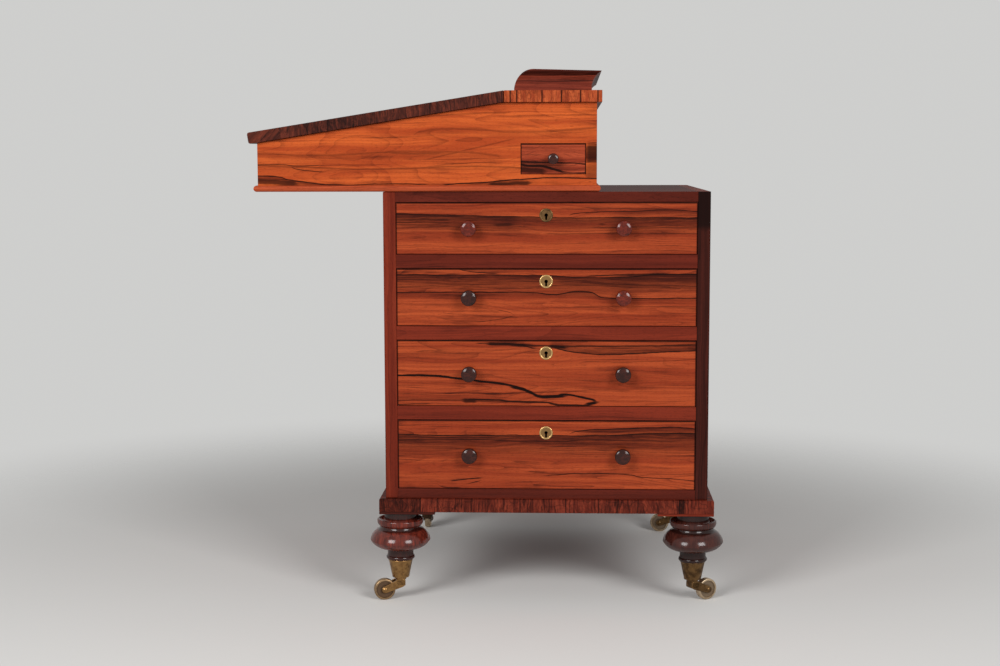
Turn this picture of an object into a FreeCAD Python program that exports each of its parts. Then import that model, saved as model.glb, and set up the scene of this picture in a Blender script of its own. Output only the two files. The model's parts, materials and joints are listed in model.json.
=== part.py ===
"""Davenport desk with a sliding slope top, in millimetres, +Z up.

The working frame has X = 0 on the sitter's face of the case, Y = 0 on the drawer face and Z = 0 on the
floor. The sitter is at -X and the drawers open towards -Y. Every piece is moved at the end, so that the
origin is the bottom centre of the whole desk. The desk rests with its slope box drawn forward.
"""
import FreeCAD, Part
import math
import os

V = FreeCAD.Vector
UP = V(0, 0, 1)

# ---- case ------------------------------------------------------------------------------------------
CASE_W = 520.0            # across the two solid end panels, along X
CASE_D = 528.0            # from the drawer face to the dummy face, along Y
PANEL_T = 20.0            # end panels, whose edges show as stiles beside the drawers
DUMMY_SIDE_T = 18.0
CASE_TOP_T = 16.0
CASE_BOTTOM_T = 15.5
RAIL_H = 22.0             # height of the rails between drawers
RAIL_D = 60.0
RUNNER_W = 40.0
DUST_PANEL_T = 6.0
OPENING_H = (83.5, 93.0, 107.5, 113.5)   # drawer openings, top one first
EDGE_R = 1.0              # softened arris on boards

# ---- plinth, feet and castors ----------------------------------------------------------------------
PLINTH_H = 21.5
PLINTH_OUT = 10.0         # how far the plinth stands out from the case
PLINTH_T = 18.0
PAD_T = 4.0               # corner blocks hang this far below the plinth
PAD_W = 90.0
FOOT_INSET = 21.0         # foot axis from the case faces
FOOT_H = 84.5             # from the socket's rim to the corner block
BULB_R = 49.0
FOOT_DOWEL_R = 12.0
FOOT_DOWEL_L = 18.0
SOCKET_H = 26.0
SOCKET_TOP_R = 18.0
SOCKET_BASE_R = 14.0
SOCKET_WALL = 2.3
SOCKET_PLATE_T = 5.0
WHEEL_R = 17.5
WHEEL_W = 11.0
CASTOR_TRAIL = 27.0       # from the swivel axis to the axle
CASTOR_HEADINGS = (194.0, 30.0, 90.0, 170.0)   # direction of trail at rest, degrees from +X
PIVOT_R = 4.0
AXLE_R = 2.5
RUNNING_FIT = 0.05        # radial clearance of pins and axles

# ---- drawers ---------------------------------------------------------------------------------------
FRONT_T = 20.0
FRONT_GAP = 0.7           # round each drawer front
RUN_GAP = 0.4             # under and beside what slides
DRAWER_SIDE_T = 10.0
DRAWER_BACK_T = 8.0
DRAWER_BOTTOM_T = 6.0
DRAWER_LAP = 7.0          # thickness of the front before the sides' lapped joint
DRAWER_TAIL_ROOM = 15.0   # free depth behind a closed drawer
SIDE_DROP = 4.0           # drawer sides stop this far below the opening's top
STOP_H = 5.6
STOP_W = 40.0
STOP_D = 28.0
KNOB_R = 12.5
KNOB_OUT = 22.0
KNOB_SHANK_R = 5.0
KNOB_SHANK_L = 17.0
KNOB_SPACING = 246.0
ESCUTCHEON_R = 10.8
ESCUTCHEON_T = 2.4
ESCUTCHEON_OUT = 0.9
ESCUTCHEON_DROP = 21.0    # its centre below the opening's top
LOCK_W, LOCK_H, LOCK_T = 56.0, 34.0, 9.0
KEYHOLE_R = 2.2
KEYHOLE_SLOT = 7.0

# ---- slope box -------------------------------------------------------------------------------------
SLIDE = 190.0             # how far the box stands forward of its closed place
BOX_L = 540.0             # along X
BOX_SIDE_T = 14.0
BOX_BACK_T = 17.0
BOX_BOTTOM_T = 10.0
SLIDE_GAP = 0.5           # between the case top and the box
MOULD_H = 10.0
MOULD_OUT = 6.0
BACK_H = 158.5            # case top to the flat top's upper face, with the slide gap
FLAT_TOP_T = 18.5
TOP_OUT = 8.0             # overhang of flat top and lid at sides and back
LID_T = 18.0
LID_SLOPE = 9.05          # degrees
LID_NOSE = 15.5           # overhang at the sitter's end
LID_NOSE_R = 7.0
FLAT_TOP_L = 155.0        # from the hinge line to the flat top's rear edge
LID_GAP = 0.3
HINGE_HALF_GAP = 0.5
LEATHER_T = 1.2
LEATHER_MARGIN = 52.0
LEATHER_HINGE_MARGIN = 40.0

# ---- lid hinges ------------------------------------------------------------------------------------
HINGE_L = 42.0
HINGE_INSET = 90.0        # hinge middle from the box's side faces
KNUCKLE_R = 3.0
HINGE_PIN_R = 1.25
LEAF_T = 1.5
LEAF_H = 14.0
KNUCKLES = 5
KNUCKLE_GAP = 0.3

# ---- keepers that hold the box down on its slides --------------------------------------------------
KEEPER_L, KEEPER_W = 60.0, 12.4
KEEPER_PLATE_L, KEEPER_PLATE_W, KEEPER_PLATE_T = 80.0, 36.0, 3.0
KEEPER_INSET = 130.0      # from the case faces in Y
KEEPER_X = 80.0           # middle of the keeper from the sitter's face, box forward
KEEPER_SIDE_GAP = 0.3
KEEPER_END_GAP = 2.0
KEEPER_RECESS = 4.2
KEEPER_SCREW_R = 2.0

# ---- pen drawer ------------------------------------------------------------------------------------
PEN_W = 103.6
PEN_H = 49.0
PEN_Z = 26.9              # opening's lower edge above the box's base
PEN_L = 186.0
PEN_BOARD_T = 6.0
PEN_CASE_L = 196.0
PEN_GAP = 0.5
PEN_KNOB_R = 8.6
PEN_KNOB_OUT = 15.0

# ---- fitted interior -------------------------------------------------------------------------------
INNER_T = 6.0
INNER_FRONT_X = 116.0     # its face stands this far forward of the back board
INNER_DRAWER_H = 45.0
INNER_FRONT_T = 9.0
INNER_KNOB_R = 5.5
INNER_KNOB_OUT = 11.0

# ---- gallery ---------------------------------------------------------------------------------------
GALLERY_INSET = 16.0
GALLERY_H = 34.0
GALLERY_FALL = 4.0        # the top edge is this much lower at the back
GALLERY_FLARE = 15.0
GALLERY_FILLET = 4.4
GALLERY_T = 8.0
GALLERY_NOSE_R = 31.0
GALLERY_START = 16.0      # from the hinge line

# ---- places worked out from the sizes above --------------------------------------------------------
SOCKET_Z = 2 * WHEEL_R + 2.0
FOOT_Z = SOCKET_Z + SOCKET_H
PAD_Z = FOOT_Z + FOOT_H
PLINTH_Z = PAD_Z + PAD_T
CASE_Z = PLINTH_Z + PLINTH_H
CASE_TOP_Z = CASE_Z + CASE_BOTTOM_T + sum(OPENING_H) + RAIL_H * (len(OPENING_H) - 1) + CASE_TOP_T
OPEN_X0, OPEN_X1 = PANEL_T, CASE_W - PANEL_T
INSIDE_Y = CASE_D - DUMMY_SIDE_T
BOX_Z = CASE_TOP_Z + SLIDE_GAP
BOX_X0 = (CASE_W - BOX_L) / 2 - SLIDE
BOX_X1 = BOX_X0 + BOX_L
TOP_Z = CASE_TOP_Z + BACK_H + SLIDE_GAP
FLAT_TOP_X1 = BOX_X1 + TOP_OUT
HINGE_X = FLAT_TOP_X1 - FLAT_TOP_L
SLOPE = math.tan(math.radians(LID_SLOPE))
LID_V = LID_T / math.cos(math.radians(LID_SLOPE))   # lid thickness measured upright
LID_X0 = BOX_X0 - LID_NOSE
FOOT_CENTRES = [(x, y) for y in (FOOT_INSET, CASE_D - FOOT_INSET) for x in (FOOT_INSET, CASE_W - FOOT_INSET)]
PEN_X1 = BOX_X1 - BOX_BACK_T
PEN_X0 = PEN_X1 - PEN_W
PEN_Z0 = BOX_Z + PEN_Z
KEEPER_YS = (KEEPER_INSET, CASE_D - KEEPER_INSET)
HINGE_YS = (HINGE_INSET, CASE_D - HINGE_INSET)


def opening_span(index):
    """Lower and upper height of a drawer opening; index 0 is the top drawer."""
    top = CASE_TOP_Z - CASE_TOP_T - sum(OPENING_H[:index]) - RAIL_H * index
    return top - OPENING_H[index], top


def lid_top(x):
    """Height of the lid's upper face at x."""
    return TOP_Z - (HINGE_X - x) * SLOPE


def side_top(x):
    """Height of the box sides' upper edge at x, which the closed lid lies on."""
    return lid_top(x) - LID_V - LID_GAP


# ---- shape helpers ---------------------------------------------------------------------------------
def block(x0, x1, y0, y1, z0, z1):
    """A board between two corners."""
    return Part.makeBox(x1 - x0, y1 - y0, z1 - z0, V(x0, y0, z0))


def soften(shape, radius, wanted):
    """Rounds the straight edges for which wanted(low corner, high corner) is true."""
    edges = []
    for edge in shape.Edges:
        box = edge.BoundBox
        if wanted(V(box.XMin, box.YMin, box.ZMin), V(box.XMax, box.YMax, box.ZMax)):
            edges.append(edge)
    return shape.makeFillet(radius, edges) if edges else shape


def near(a, b):
    """True where two lengths agree to a hundredth of a millimetre."""
    return abs(a - b) < 0.01


def outline(points):
    """A closed face from points; a point given as a pair of points is an arc: (through, end)."""
    edges = []
    start = points[0]
    for item in list(points[1:]) + [points[0]]:
        if isinstance(item, tuple):
            edges.append(Part.Arc(start, item[0], item[1]).toShape())
            start = item[1]
        else:
            if (item - start).Length > 1e-6:
                edges.append(Part.LineSegment(start, item).toShape())
            start = item
    return Part.Face(Part.Wire(edges))


def prism_y(points, y0, y1):
    """Extrudes an outline in X and Z from y0 to y1. Points are (x, z) or ((x, z), (x, z)) arcs."""
    def place(p):
        return V(p[0], y0, p[1])
    items = [(place(p[0]), place(p[1])) if isinstance(p[0], tuple) else place(p) for p in points]
    return outline(items).extrude(V(0, y1 - y0, 0))


def turned(points, centre=V(0, 0, 0)):
    """Revolves an outline of (radius, height) points about the vertical axis through centre."""
    def place(p):
        return V(p[0], 0, p[1])
    items = [(place(p[0]), place(p[1])) if isinstance(p[0], tuple) else place(p) for p in points]
    solid = outline(items).revolve(V(0, 0, 0), UP, 360)
    return solid.translated(centre)


def rod(radius, start, end):
    """A round rod from start to end."""
    return Part.makeCylinder(radius, (end - start).Length, start, end - start)


def screwlike(points, place, direction):
    """A turned piece laid so that its own +Z points along direction, with its foot at place."""
    solid = turned(points)
    solid.Placement = FreeCAD.Placement(place, FreeCAD.Rotation(UP, direction))
    return solid


def frame_strips(profile, x0, x1, y0, y1, sides="near right far left", first_cut=None):
    """Mitred strips round a rectangle. The profile's points are (outward, height) from the rectangle.

    first_cut, where it is given, ends the near and far strips at that x with no mitre.
    """
    reach = 80.0
    corners = {
        "near": (V(x0, y0, 0), 0, x1 - x0),
        "right": (V(x1, y0, 0), 90, y1 - y0),
        "far": (V(x1, y1, 0), 180, x1 - x0),
        "left": (V(x0, y1, 0), 270, y1 - y0),
    }
    strips = []
    for name in sides.split():
        corner, angle, length = corners[name]
        def place(p):
            return V(-reach, -p[0], p[1])
        items = [(place(p[0]), place(p[1])) if isinstance(p[0], tuple) else place(p) for p in profile]
        bar = outline(items).extrude(V(length + 2 * reach, 0, 0))
        start_near, start_far = -reach, reach
        end_near, end_far = length + reach, length - reach
        if first_cut is not None and name == "near":
            start_near = start_far = first_cut - x0
        if first_cut is not None and name == "far":
            end_near = end_far = x1 - first_cut
        wedge = outline([V(start_near, -reach, -10), V(end_near, -reach, -10), V(end_far, reach, -10),
                         V(start_far, reach, -10)]).extrude(V(0, 0, 2000))
        strip = bar.common(wedge).Solids[0]
        strip.rotate(V(0, 0, 0), UP, angle)
        strip.translate(corner)
        strips.append(strip)
    return strips


def knob(place, direction, radius, out, shank_r, shank_l):
    """A turned knob: thick rounded head with a dished face, waist, base ring and a shank in the board."""
    waist = radius * 0.52
    base = radius * 0.68
    head = out * 0.52
    points = [(0, -shank_l), (shank_r, -shank_l), (shank_r, 0), (base, 0),
              ((base + out * 0.06, out * 0.06), (base, out * 0.12)), (waist, out * 0.17),
              ((waist * 0.94, (out * 0.17 + out - head) / 2), (waist * 1.12, out - head)),
              ((radius * 0.93, out - head * 0.82), (radius, out - head * 0.45)),
              ((radius * 0.95, out - head * 0.12), (radius * 0.80, out)),
              ((radius * 0.66, out - head * 0.10), (radius * 0.55, out - head * 0.14)),
              (0, out - head * 0.20)]
    return screwlike(points, place, direction)


def keyhole(place, direction, depth):
    """The cutter of a keyhole whose slot hangs down, from place along direction."""
    slot_dir = V(0, 0, -1)
    across = direction.cross(slot_dir)
    half = KEYHOLE_R * 0.55
    cutter = rod(KEYHOLE_R, place, place + direction * depth)
    corners = [place - across * half, place + across * half, place + across * half + slot_dir * KEYHOLE_SLOT,
               place - across * half + slot_dir * KEYHOLE_SLOT]
    return cutter.fuse(outline(corners).extrude(direction * depth)).removeSplitter()


def escutcheon(place, inward):
    """A round brass plate with a raised rim, let into a board whose face holds place."""
    face = ESCUTCHEON_OUT
    points = [(0, -ESCUTCHEON_T + face), (ESCUTCHEON_R, -ESCUTCHEON_T + face), (ESCUTCHEON_R, face * 0.3),
              ((ESCUTCHEON_R - 0.5, face * 0.9), (ESCUTCHEON_R - 1.3, face)),
              ((ESCUTCHEON_R - 2.1, face * 0.9), (ESCUTCHEON_R - 2.6, face * 0.3)), (0, face * 0.3)]
    disc = screwlike(points, place, inward * -1)
    return disc.cut(keyhole(place - inward * 5, inward, 20.0))


def lock_body(place, inward):
    """A box lock let into the inner face of a board; place is the keyhole's centre on the outer face."""
    back = place + inward * FRONT_T
    low = back - inward * LOCK_T
    across = UP.cross(inward)
    corner = low - across * (LOCK_W / 2) - UP * (LOCK_H * 0.62)
    case = outline([corner, corner + across * LOCK_W, corner + across * LOCK_W + UP * LOCK_H,
                    corner + UP * LOCK_H]).extrude(inward * LOCK_T)
    return case.cut(keyhole(low - inward, inward, LOCK_T * 0.6))


# ---- case ------------------------------------------------------------------------------------------
def end_panel(x0, x1):
    """A solid end of the case, full height and depth, with its two upright outer arrises softened."""
    outer = x0 if x0 < CASE_W / 2 else x1
    board = block(x0, x1, 0, CASE_D, CASE_Z, CASE_TOP_Z)
    return soften(board, EDGE_R, lambda a, b: near(a.x, outer) and near(b.x, outer) and b.z - a.z > 1)


def keeper_slots(z0, z1, length, width):
    """Cutters along X for the two keepers, over the whole travel of the box."""
    cutters = []
    for y in KEEPER_YS:
        half = length / 2 + KEEPER_END_GAP
        cutters.append(block(KEEPER_X - half, KEEPER_X + SLIDE + half, y - width / 2 - KEEPER_SIDE_GAP,
                             y + width / 2 + KEEPER_SIDE_GAP, z0, z1))
    return cutters


def case_top():
    """The board that the slope box slides on, with two slots that are wider below for the keeper plates."""
    board = block(OPEN_X0, OPEN_X1, 0, CASE_D, CASE_TOP_Z - CASE_TOP_T, CASE_TOP_Z)
    low = CASE_TOP_Z - CASE_TOP_T
    for cutter in keeper_slots(low - 1, CASE_TOP_Z + 1, KEEPER_L, KEEPER_W):
        board = board.cut(cutter)
    for cutter in keeper_slots(low - 1, low + KEEPER_RECESS, KEEPER_PLATE_L, KEEPER_PLATE_W):
        board = board.cut(cutter)
    return board


def drawer_rails():
    """The three rails that show between the drawers, and two stop blocks for each drawer."""
    solids = []
    for index in range(len(OPENING_H)):
        low, _ = opening_span(index)
        if index < len(OPENING_H) - 1:
            solids.append(block(OPEN_X0, OPEN_X1, 0, RAIL_D, low - RAIL_H, low))
        for side in (-1, 1):
            x = CASE_W / 2 + side * CASE_W / 4
            solids.append(block(x - STOP_W / 2, x + STOP_W / 2, FRONT_T + RUN_GAP, FRONT_T + RUN_GAP + STOP_D,
                                low, low + STOP_H))
    return solids


def dust_frames():
    """Behind each rail: two runners, a back rail and the thin dust panel between them."""
    solids = []
    for index in range(len(OPENING_H) - 1):
        low, _ = opening_span(index)
        z0 = low - RAIL_H
        solids.append(block(OPEN_X0, OPEN_X0 + RUNNER_W, RAIL_D, INSIDE_Y, z0, low))
        solids.append(block(OPEN_X1 - RUNNER_W, OPEN_X1, RAIL_D, INSIDE_Y, z0, low))
        solids.append(block(OPEN_X0 + RUNNER_W, OPEN_X1 - RUNNER_W, INSIDE_Y - RUNNER_W, INSIDE_Y, z0, low))
        middle = (z0 + low) / 2
        solids.append(block(OPEN_X0 + RUNNER_W, OPEN_X1 - RUNNER_W, RAIL_D, INSIDE_Y - RUNNER_W,
                            middle - DUST_PANEL_T / 2, middle + DUST_PANEL_T / 2))
    return solids


def dummy_front_depth():
    """Thickness of the sham drawer fronts let into the dummy side."""
    return DUMMY_SIDE_T / 3


def dummy_side():
    """The dummy side: a board recessed for four sham drawer fronts and bored for their knobs."""
    low, _ = opening_span(len(OPENING_H) - 1)
    board = block(OPEN_X0, OPEN_X1, INSIDE_Y, CASE_D, low, CASE_TOP_Z - CASE_TOP_T)
    for index in range(len(OPENING_H)):
        z0, z1 = opening_span(index)
        board = board.cut(block(OPEN_X0 - 1, OPEN_X1 + 1, CASE_D - dummy_front_depth(), CASE_D + 1, z0, z1))
        for place in knob_places(index, CASE_D):
            board = board.cut(rod(KNOB_SHANK_R, place - V(0, dummy_shank(), 0), place))
    return board


def dummy_shank():
    """Length of the dummy knobs' shanks, which stop inside the dummy side."""
    return DUMMY_SIDE_T - 3.0


def knob_places(index, y):
    """Where a drawer's two knobs meet its face."""
    z0, z1 = opening_span(index)
    return [V(CASE_W / 2 + side * KNOB_SPACING / 2, y, (z0 + z1) / 2) for side in (-1, 1)]


def escutcheon_place(index, y):
    """Centre of a drawer's keyhole plate on its face."""
    return V(CASE_W / 2, y, opening_span(index)[1] - ESCUTCHEON_DROP)


def dummy_fronts():
    """Sham drawer fronts with a fine gap round each, bored for knobs and keyhole plates."""
    solids = []
    for index in range(len(OPENING_H)):
        z0, z1 = opening_span(index)
        front = block(OPEN_X0 + FRONT_GAP, OPEN_X1 - FRONT_GAP, CASE_D - dummy_front_depth(), CASE_D,
                      z0 + FRONT_GAP, z1 - FRONT_GAP)
        for place in knob_places(index, CASE_D):
            front = front.cut(rod(KNOB_SHANK_R, place - V(0, dummy_front_depth(), 0), place))
        place = escutcheon_place(index, CASE_D)
        front = front.cut(rod(ESCUTCHEON_R, place - V(0, ESCUTCHEON_T - ESCUTCHEON_OUT, 0), place))
        solids.append(front)
    return solids


def plinth_frame():
    """Four mitred plinth rails standing out from the case, with a rounded upper arris."""
    r = EDGE_R * 2
    profile = [(PLINTH_OUT - PLINTH_T, PLINTH_Z), (PLINTH_OUT, PLINTH_Z), (PLINTH_OUT, CASE_Z - r),
               ((PLINTH_OUT - r * (1 - math.sqrt(0.5)), CASE_Z - r * (1 - math.sqrt(0.5))), (PLINTH_OUT - r, CASE_Z)),
               (PLINTH_OUT - PLINTH_T, CASE_Z)]
    rails = frame_strips(profile, 0, CASE_W, 0, CASE_D)
    for dowel in foot_dowels():
        rails = [rail.cut(dowel) for rail in rails]
    return rails


def foot_dowels():
    """The feet's dowels, which bore the corner blocks and whatever else they meet."""
    return [rod(FOOT_DOWEL_R, V(x, y, PAD_Z - 1), V(x, y, PAD_Z + FOOT_DOWEL_L)) for x, y in FOOT_CENTRES]


def corner_blocks():
    """Blocks in the plinth's corners, bored for the feet, with a pad that shows below the plinth."""
    solids = []
    inner = PLINTH_OUT - PLINTH_T
    for (x, y), dowel in zip(FOOT_CENTRES, foot_dowels()):
        sx = 1 if x < CASE_W / 2 else -1
        sy = 1 if y < CASE_D / 2 else -1
        face_x = 0 if sx > 0 else CASE_W
        face_y = 0 if sy > 0 else CASE_D
        def span(face, sign, outer):
            a, b = face - sign * outer, face - sign * (PLINTH_OUT - PAD_W)
            return min(a, b), max(a, b)
        x0, x1 = span(face_x, sx, PLINTH_OUT)
        y0, y1 = span(face_y, sy, PLINTH_OUT)
        pad = block(x0, x1, y0, y1, PAD_Z, PLINTH_Z)
        ix0, ix1 = span(face_x, sx, inner)
        iy0, iy1 = span(face_y, sy, inner)
        body = pad.fuse(block(ix0, ix1, iy0, iy1, PAD_Z, CASE_Z)).removeSplitter()
        body = body.cut(dowel)
        solids.append(soften(body, EDGE_R, lambda a, b: near(a.z, PAD_Z) and near(b.z, PAD_Z)
                             and max(b.x - a.x, b.y - a.y) > PAD_W / 2))
    return solids


def foot(x, y):
    """A turned foot: dowel, neck, dished ring, flattened bulb, collar, bead and the socket's spigot."""
    z = FOOT_Z
    s = FOOT_H / 84.5
    k = BULB_R / 49.0
    base_r = SOCKET_BASE_R - SOCKET_WALL * 0.6
    rim_r = SOCKET_TOP_R - SOCKET_WALL
    spigot = z - SOCKET_H + SOCKET_PLATE_T
    pocket_r, pocket_h = PIVOT_R + 3.0, 3.5
    points = [(0, z + FOOT_H + FOOT_DOWEL_L), (0, spigot + pocket_h), (pocket_r, spigot + pocket_h),
              (pocket_r, spigot), (base_r, spigot), (rim_r, z), (20.6, z),
              ((23.3, z + 3.6 * s), (20.8, z + 7.2 * s)), ((20.3, z + 13 * s), (22.0 * k, z + 20.5 * s)),
              ((40.0 * k, z + 25.0 * s), (BULB_R, z + 35.0 * s)),
              ((43.8 * k, z + 46.0 * s), (36.5 * k, z + 51.8 * s)),
              ((33.4 * k, z + 54.0 * s), (32.0 * k, z + 57.5 * s)),
              ((36.0 * k, z + 61.0 * s), (37.4 * k, z + 66.0 * s)),
              ((36.0 * k, z + 68.6 * s), (33.6 * k, z + 68.2 * s)),
              (27.0 * k, z + 66.6 * s), (26.0 * k, z + 68.0 * s), (26.0 * k, z + FOOT_H),
              (FOOT_DOWEL_R, z + FOOT_H), (FOOT_DOWEL_R, z + FOOT_H + FOOT_DOWEL_L)]
    return turned(points, V(x, y, 0))


def castor_socket(x, y):
    """A tapered brass cup round the foot's spigot, bored for the castor's pivot."""
    z = FOOT_Z
    base_r = SOCKET_BASE_R - SOCKET_WALL * 0.6
    rim_r = SOCKET_TOP_R - SOCKET_WALL
    plate = SOCKET_Z + SOCKET_PLATE_T
    points = [(PIVOT_R + RUNNING_FIT, SOCKET_Z), (SOCKET_BASE_R - 1.0, SOCKET_Z),
              ((SOCKET_BASE_R - 0.2, SOCKET_Z + 0.3), (SOCKET_BASE_R, SOCKET_Z + 1.2)),
              (SOCKET_TOP_R, z - 2.4), ((SOCKET_TOP_R + 0.9, z - 1.2), (SOCKET_TOP_R, z)),
              (rim_r, z), (base_r, plate), (PIVOT_R + RUNNING_FIT, plate)]
    return turned(points, V(x, y, 0))


def tangent_link(p, p_r, q, q_r, y0, y1):
    """A flat link in X and Z: two discs and the straight sides that touch both."""
    dx, dz = q[0] - p[0], q[1] - p[1]
    length = math.hypot(dx, dz)
    lean = math.asin((p_r - q_r) / length)
    base = math.atan2(dz, dx)
    corners = []
    for sign in (1, -1):
        a = base + sign * (math.pi / 2 - lean)
        corners.append((V(p[0] + p_r * math.cos(a), y0, p[1] + p_r * math.sin(a)),
                        V(q[0] + q_r * math.cos(a), y0, q[1] + q_r * math.sin(a))))
    back = V(p[0] - p_r * math.cos(base), y0, p[1] - p_r * math.sin(base))
    tip = V(q[0] + q_r * math.cos(base), y0, q[1] + q_r * math.sin(base))
    face = outline([corners[0][0], corners[0][1], (tip, corners[1][1]), corners[1][0], (back, corners[0][0])])
    return face.extrude(V(0, y1 - y0, 0))


def castor_pieces(x, y, heading):
    """A castor's horn, riveted axle and wheel, built trailing along +X and turned to its heading."""
    axle = (CASTOR_TRAIL, WHEEL_R)
    boss_z = SOCKET_Z - RUN_GAP
    cheek_in = WHEEL_W / 2 + 0.5
    cheek_out = cheek_in + 3.0
    plate = SOCKET_Z + SOCKET_PLATE_T
    pivot = turned([(0, boss_z - 3.2), (9.0, boss_z - 3.2), (9.0, boss_z - 0.6), (8.4, boss_z), (PIVOT_R, boss_z),
                    (PIVOT_R, plate + 0.3), (PIVOT_R + 2.0, plate + 0.3), (PIVOT_R + 2.0, plate + 2.3),
                    (0, plate + 2.3)])
    web_x = CASTOR_TRAIL - WHEEL_R - 0.9
    horn = pivot.fuse(block(-6.5, web_x, -cheek_out, cheek_out, WHEEL_R + 5.5, boss_z - 3.0))
    for sign in (-1, 1):
        y0, y1 = sorted((sign * cheek_in, sign * cheek_out))
        cheek = tangent_link((1.0, boss_z - 8.8), 7.4, axle, 5.4, y0, y1)
        horn = horn.fuse(cheek)
    horn = horn.cut(rod(AXLE_R, V(axle[0], -20, axle[1]), V(axle[0], 20, axle[1]))).removeSplitter()
    pin = rod(AXLE_R, V(axle[0], -cheek_out - 0.2, axle[1]), V(axle[0], cheek_out + 0.2, axle[1]))
    for sign in (-1, 1):
        start = V(axle[0], sign * cheek_out, axle[1])
        pin = pin.fuse(rod(AXLE_R + 1.2, start, start + V(0, sign * 1.1, 0)))
    pin = pin.removeSplitter()
    half = WHEEL_W / 2
    tyre = 2.0
    bulge = tyre * math.sqrt(0.5)
    profile = [(AXLE_R + RUNNING_FIT, -half + 0.3), (6.2, -half + 0.3), (7.2, -half + 2.2), (WHEEL_R - 4.2, -half + 2.2),
               (WHEEL_R - 3.4, -half), (WHEEL_R - tyre, -half),
               ((WHEEL_R - tyre + bulge, -half + tyre - bulge), (WHEEL_R, -half + tyre)), (WHEEL_R, half - tyre),
               ((WHEEL_R - tyre + bulge, half - tyre + bulge), (WHEEL_R - tyre, half)), (WHEEL_R - 3.4, half),
               (WHEEL_R - 4.2, half - 2.2), (7.2, half - 2.2), (6.2, half - 0.3), (AXLE_R + RUNNING_FIT, half - 0.3)]
    wheel = screwlike(profile, V(axle[0], 0, axle[1]), V(0, 1, 0))
    pieces = []
    for shape in (horn, pin, wheel):
        shape = shape.copy()
        shape.rotate(V(0, 0, 0), UP, heading)
        shape.translate(V(x, y, 0))
        pieces.append(shape)
    return pieces


# ---- drawers ---------------------------------------------------------------------------------------
def drawer_front(index):
    """A flush front, rebated for the sides and bored for its knobs, keyhole plate and lock."""
    z0, z1 = opening_span(index)
    x0, x1 = OPEN_X0 + FRONT_GAP, OPEN_X1 - FRONT_GAP
    board = block(x0, x1, 0, FRONT_T, z0 + FRONT_GAP, z1 - FRONT_GAP)
    board = soften(board, EDGE_R * 0.7, lambda a, b: near(a.y, 0) and near(b.y, 0))
    for low, high in ((x0 - 1, x0 + DRAWER_SIDE_T), (x1 - DRAWER_SIDE_T, x1 + 1)):
        board = board.cut(block(low, high, DRAWER_LAP, FRONT_T + 1, z0, z1 - SIDE_DROP))
    for place in knob_places(index, 0):
        board = board.cut(rod(KNOB_SHANK_R, place, place + V(0, KNOB_SHANK_L, 0)))
    place = escutcheon_place(index, 0)
    board = board.cut(rod(ESCUTCHEON_R, place, place + V(0, ESCUTCHEON_T - ESCUTCHEON_OUT, 0)))
    board = board.cut(keyhole(place - V(0, 1, 0), V(0, 1, 0), FRONT_T + 2))
    return board.cut(lock_space(place, V(0, 1, 0)))


def lock_space(place, inward):
    """The pocket that a lock is let into, of exactly the lock's size."""
    across = UP.cross(inward)
    low = place + inward * (FRONT_T - LOCK_T)
    corner = low - across * (LOCK_W / 2) - UP * (LOCK_H * 0.62)
    return outline([corner, corner + across * LOCK_W, corner + across * LOCK_W + UP * LOCK_H,
                    corner + UP * LOCK_H]).extrude(inward * (LOCK_T + 1))


def drawer_box(index):
    """Two sides, a back and a bottom. The bottom is raised, so that it clears the stops."""
    z0, z1 = opening_span(index)
    x0, x1 = OPEN_X0 + FRONT_GAP, OPEN_X1 - FRONT_GAP
    end = INSIDE_Y - DRAWER_TAIL_ROOM
    low, high = z0 + RUN_GAP, z1 - SIDE_DROP
    floor = z0 + STOP_H + 0.8
    sides = [block(x0, x0 + DRAWER_SIDE_T, DRAWER_LAP, end, low, high),
             block(x1 - DRAWER_SIDE_T, x1, DRAWER_LAP, end, low, high)]
    sides[0] = sides[0].cut(block(x0 - 1, x0 + DRAWER_SIDE_T + 1, DRAWER_LAP - 1, FRONT_T, low - 1, z0 + FRONT_GAP))
    sides[1] = sides[1].cut(block(x1 - DRAWER_SIDE_T - 1, x1 + 1, DRAWER_LAP - 1, FRONT_T, low - 1, z0 + FRONT_GAP))
    bottom = block(x0 + DRAWER_SIDE_T, x1 - DRAWER_SIDE_T, FRONT_T, end, floor, floor + DRAWER_BOTTOM_T)
    back = block(x0 + DRAWER_SIDE_T, x1 - DRAWER_SIDE_T, end - DRAWER_BACK_T, end, floor + DRAWER_BOTTOM_T, high - 6)
    return sides + [bottom, back]


# ---- slope box -------------------------------------------------------------------------------------
def box_side(y0, y1):
    """A tapered side: level base, upright ends, an upper edge that follows the lid and then the flat top."""
    points = [(BOX_X0, BOX_Z), (BOX_X1, BOX_Z), (BOX_X1, TOP_Z - FLAT_TOP_T), (HINGE_X, TOP_Z - FLAT_TOP_T),
              (HINGE_X, side_top(HINGE_X)), (BOX_X0, side_top(BOX_X0))]
    return prism_y(points, y0, y1)


def box_near_side():
    """The drawer-face side of the box, cut out for the pen drawer."""
    board = box_side(0, BOX_SIDE_T)
    return board.cut(block(PEN_X0, PEN_X1, -1, BOX_SIDE_T + 1, PEN_Z0, PEN_Z0 + PEN_H))


def box_front():
    """The front board between the sides, with its upper edge on the lid's slope."""
    inner = BOX_X0 + BOX_SIDE_T
    points = [(BOX_X0, BOX_Z), (inner, BOX_Z), (inner, side_top(inner)), (BOX_X0, side_top(BOX_X0))]
    board = prism_y(points, BOX_SIDE_T, CASE_D - BOX_SIDE_T)
    place = lid_lock_place()
    board = board.cut(rod(ESCUTCHEON_R, place, place + V(ESCUTCHEON_T - ESCUTCHEON_OUT, 0, 0)))
    board = board.cut(keyhole(place - V(1, 0, 0), V(1, 0, 0), BOX_SIDE_T + 2))
    return board.cut(lock_space(place - V(FRONT_T - BOX_SIDE_T, 0, 0), V(1, 0, 0)))


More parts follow.
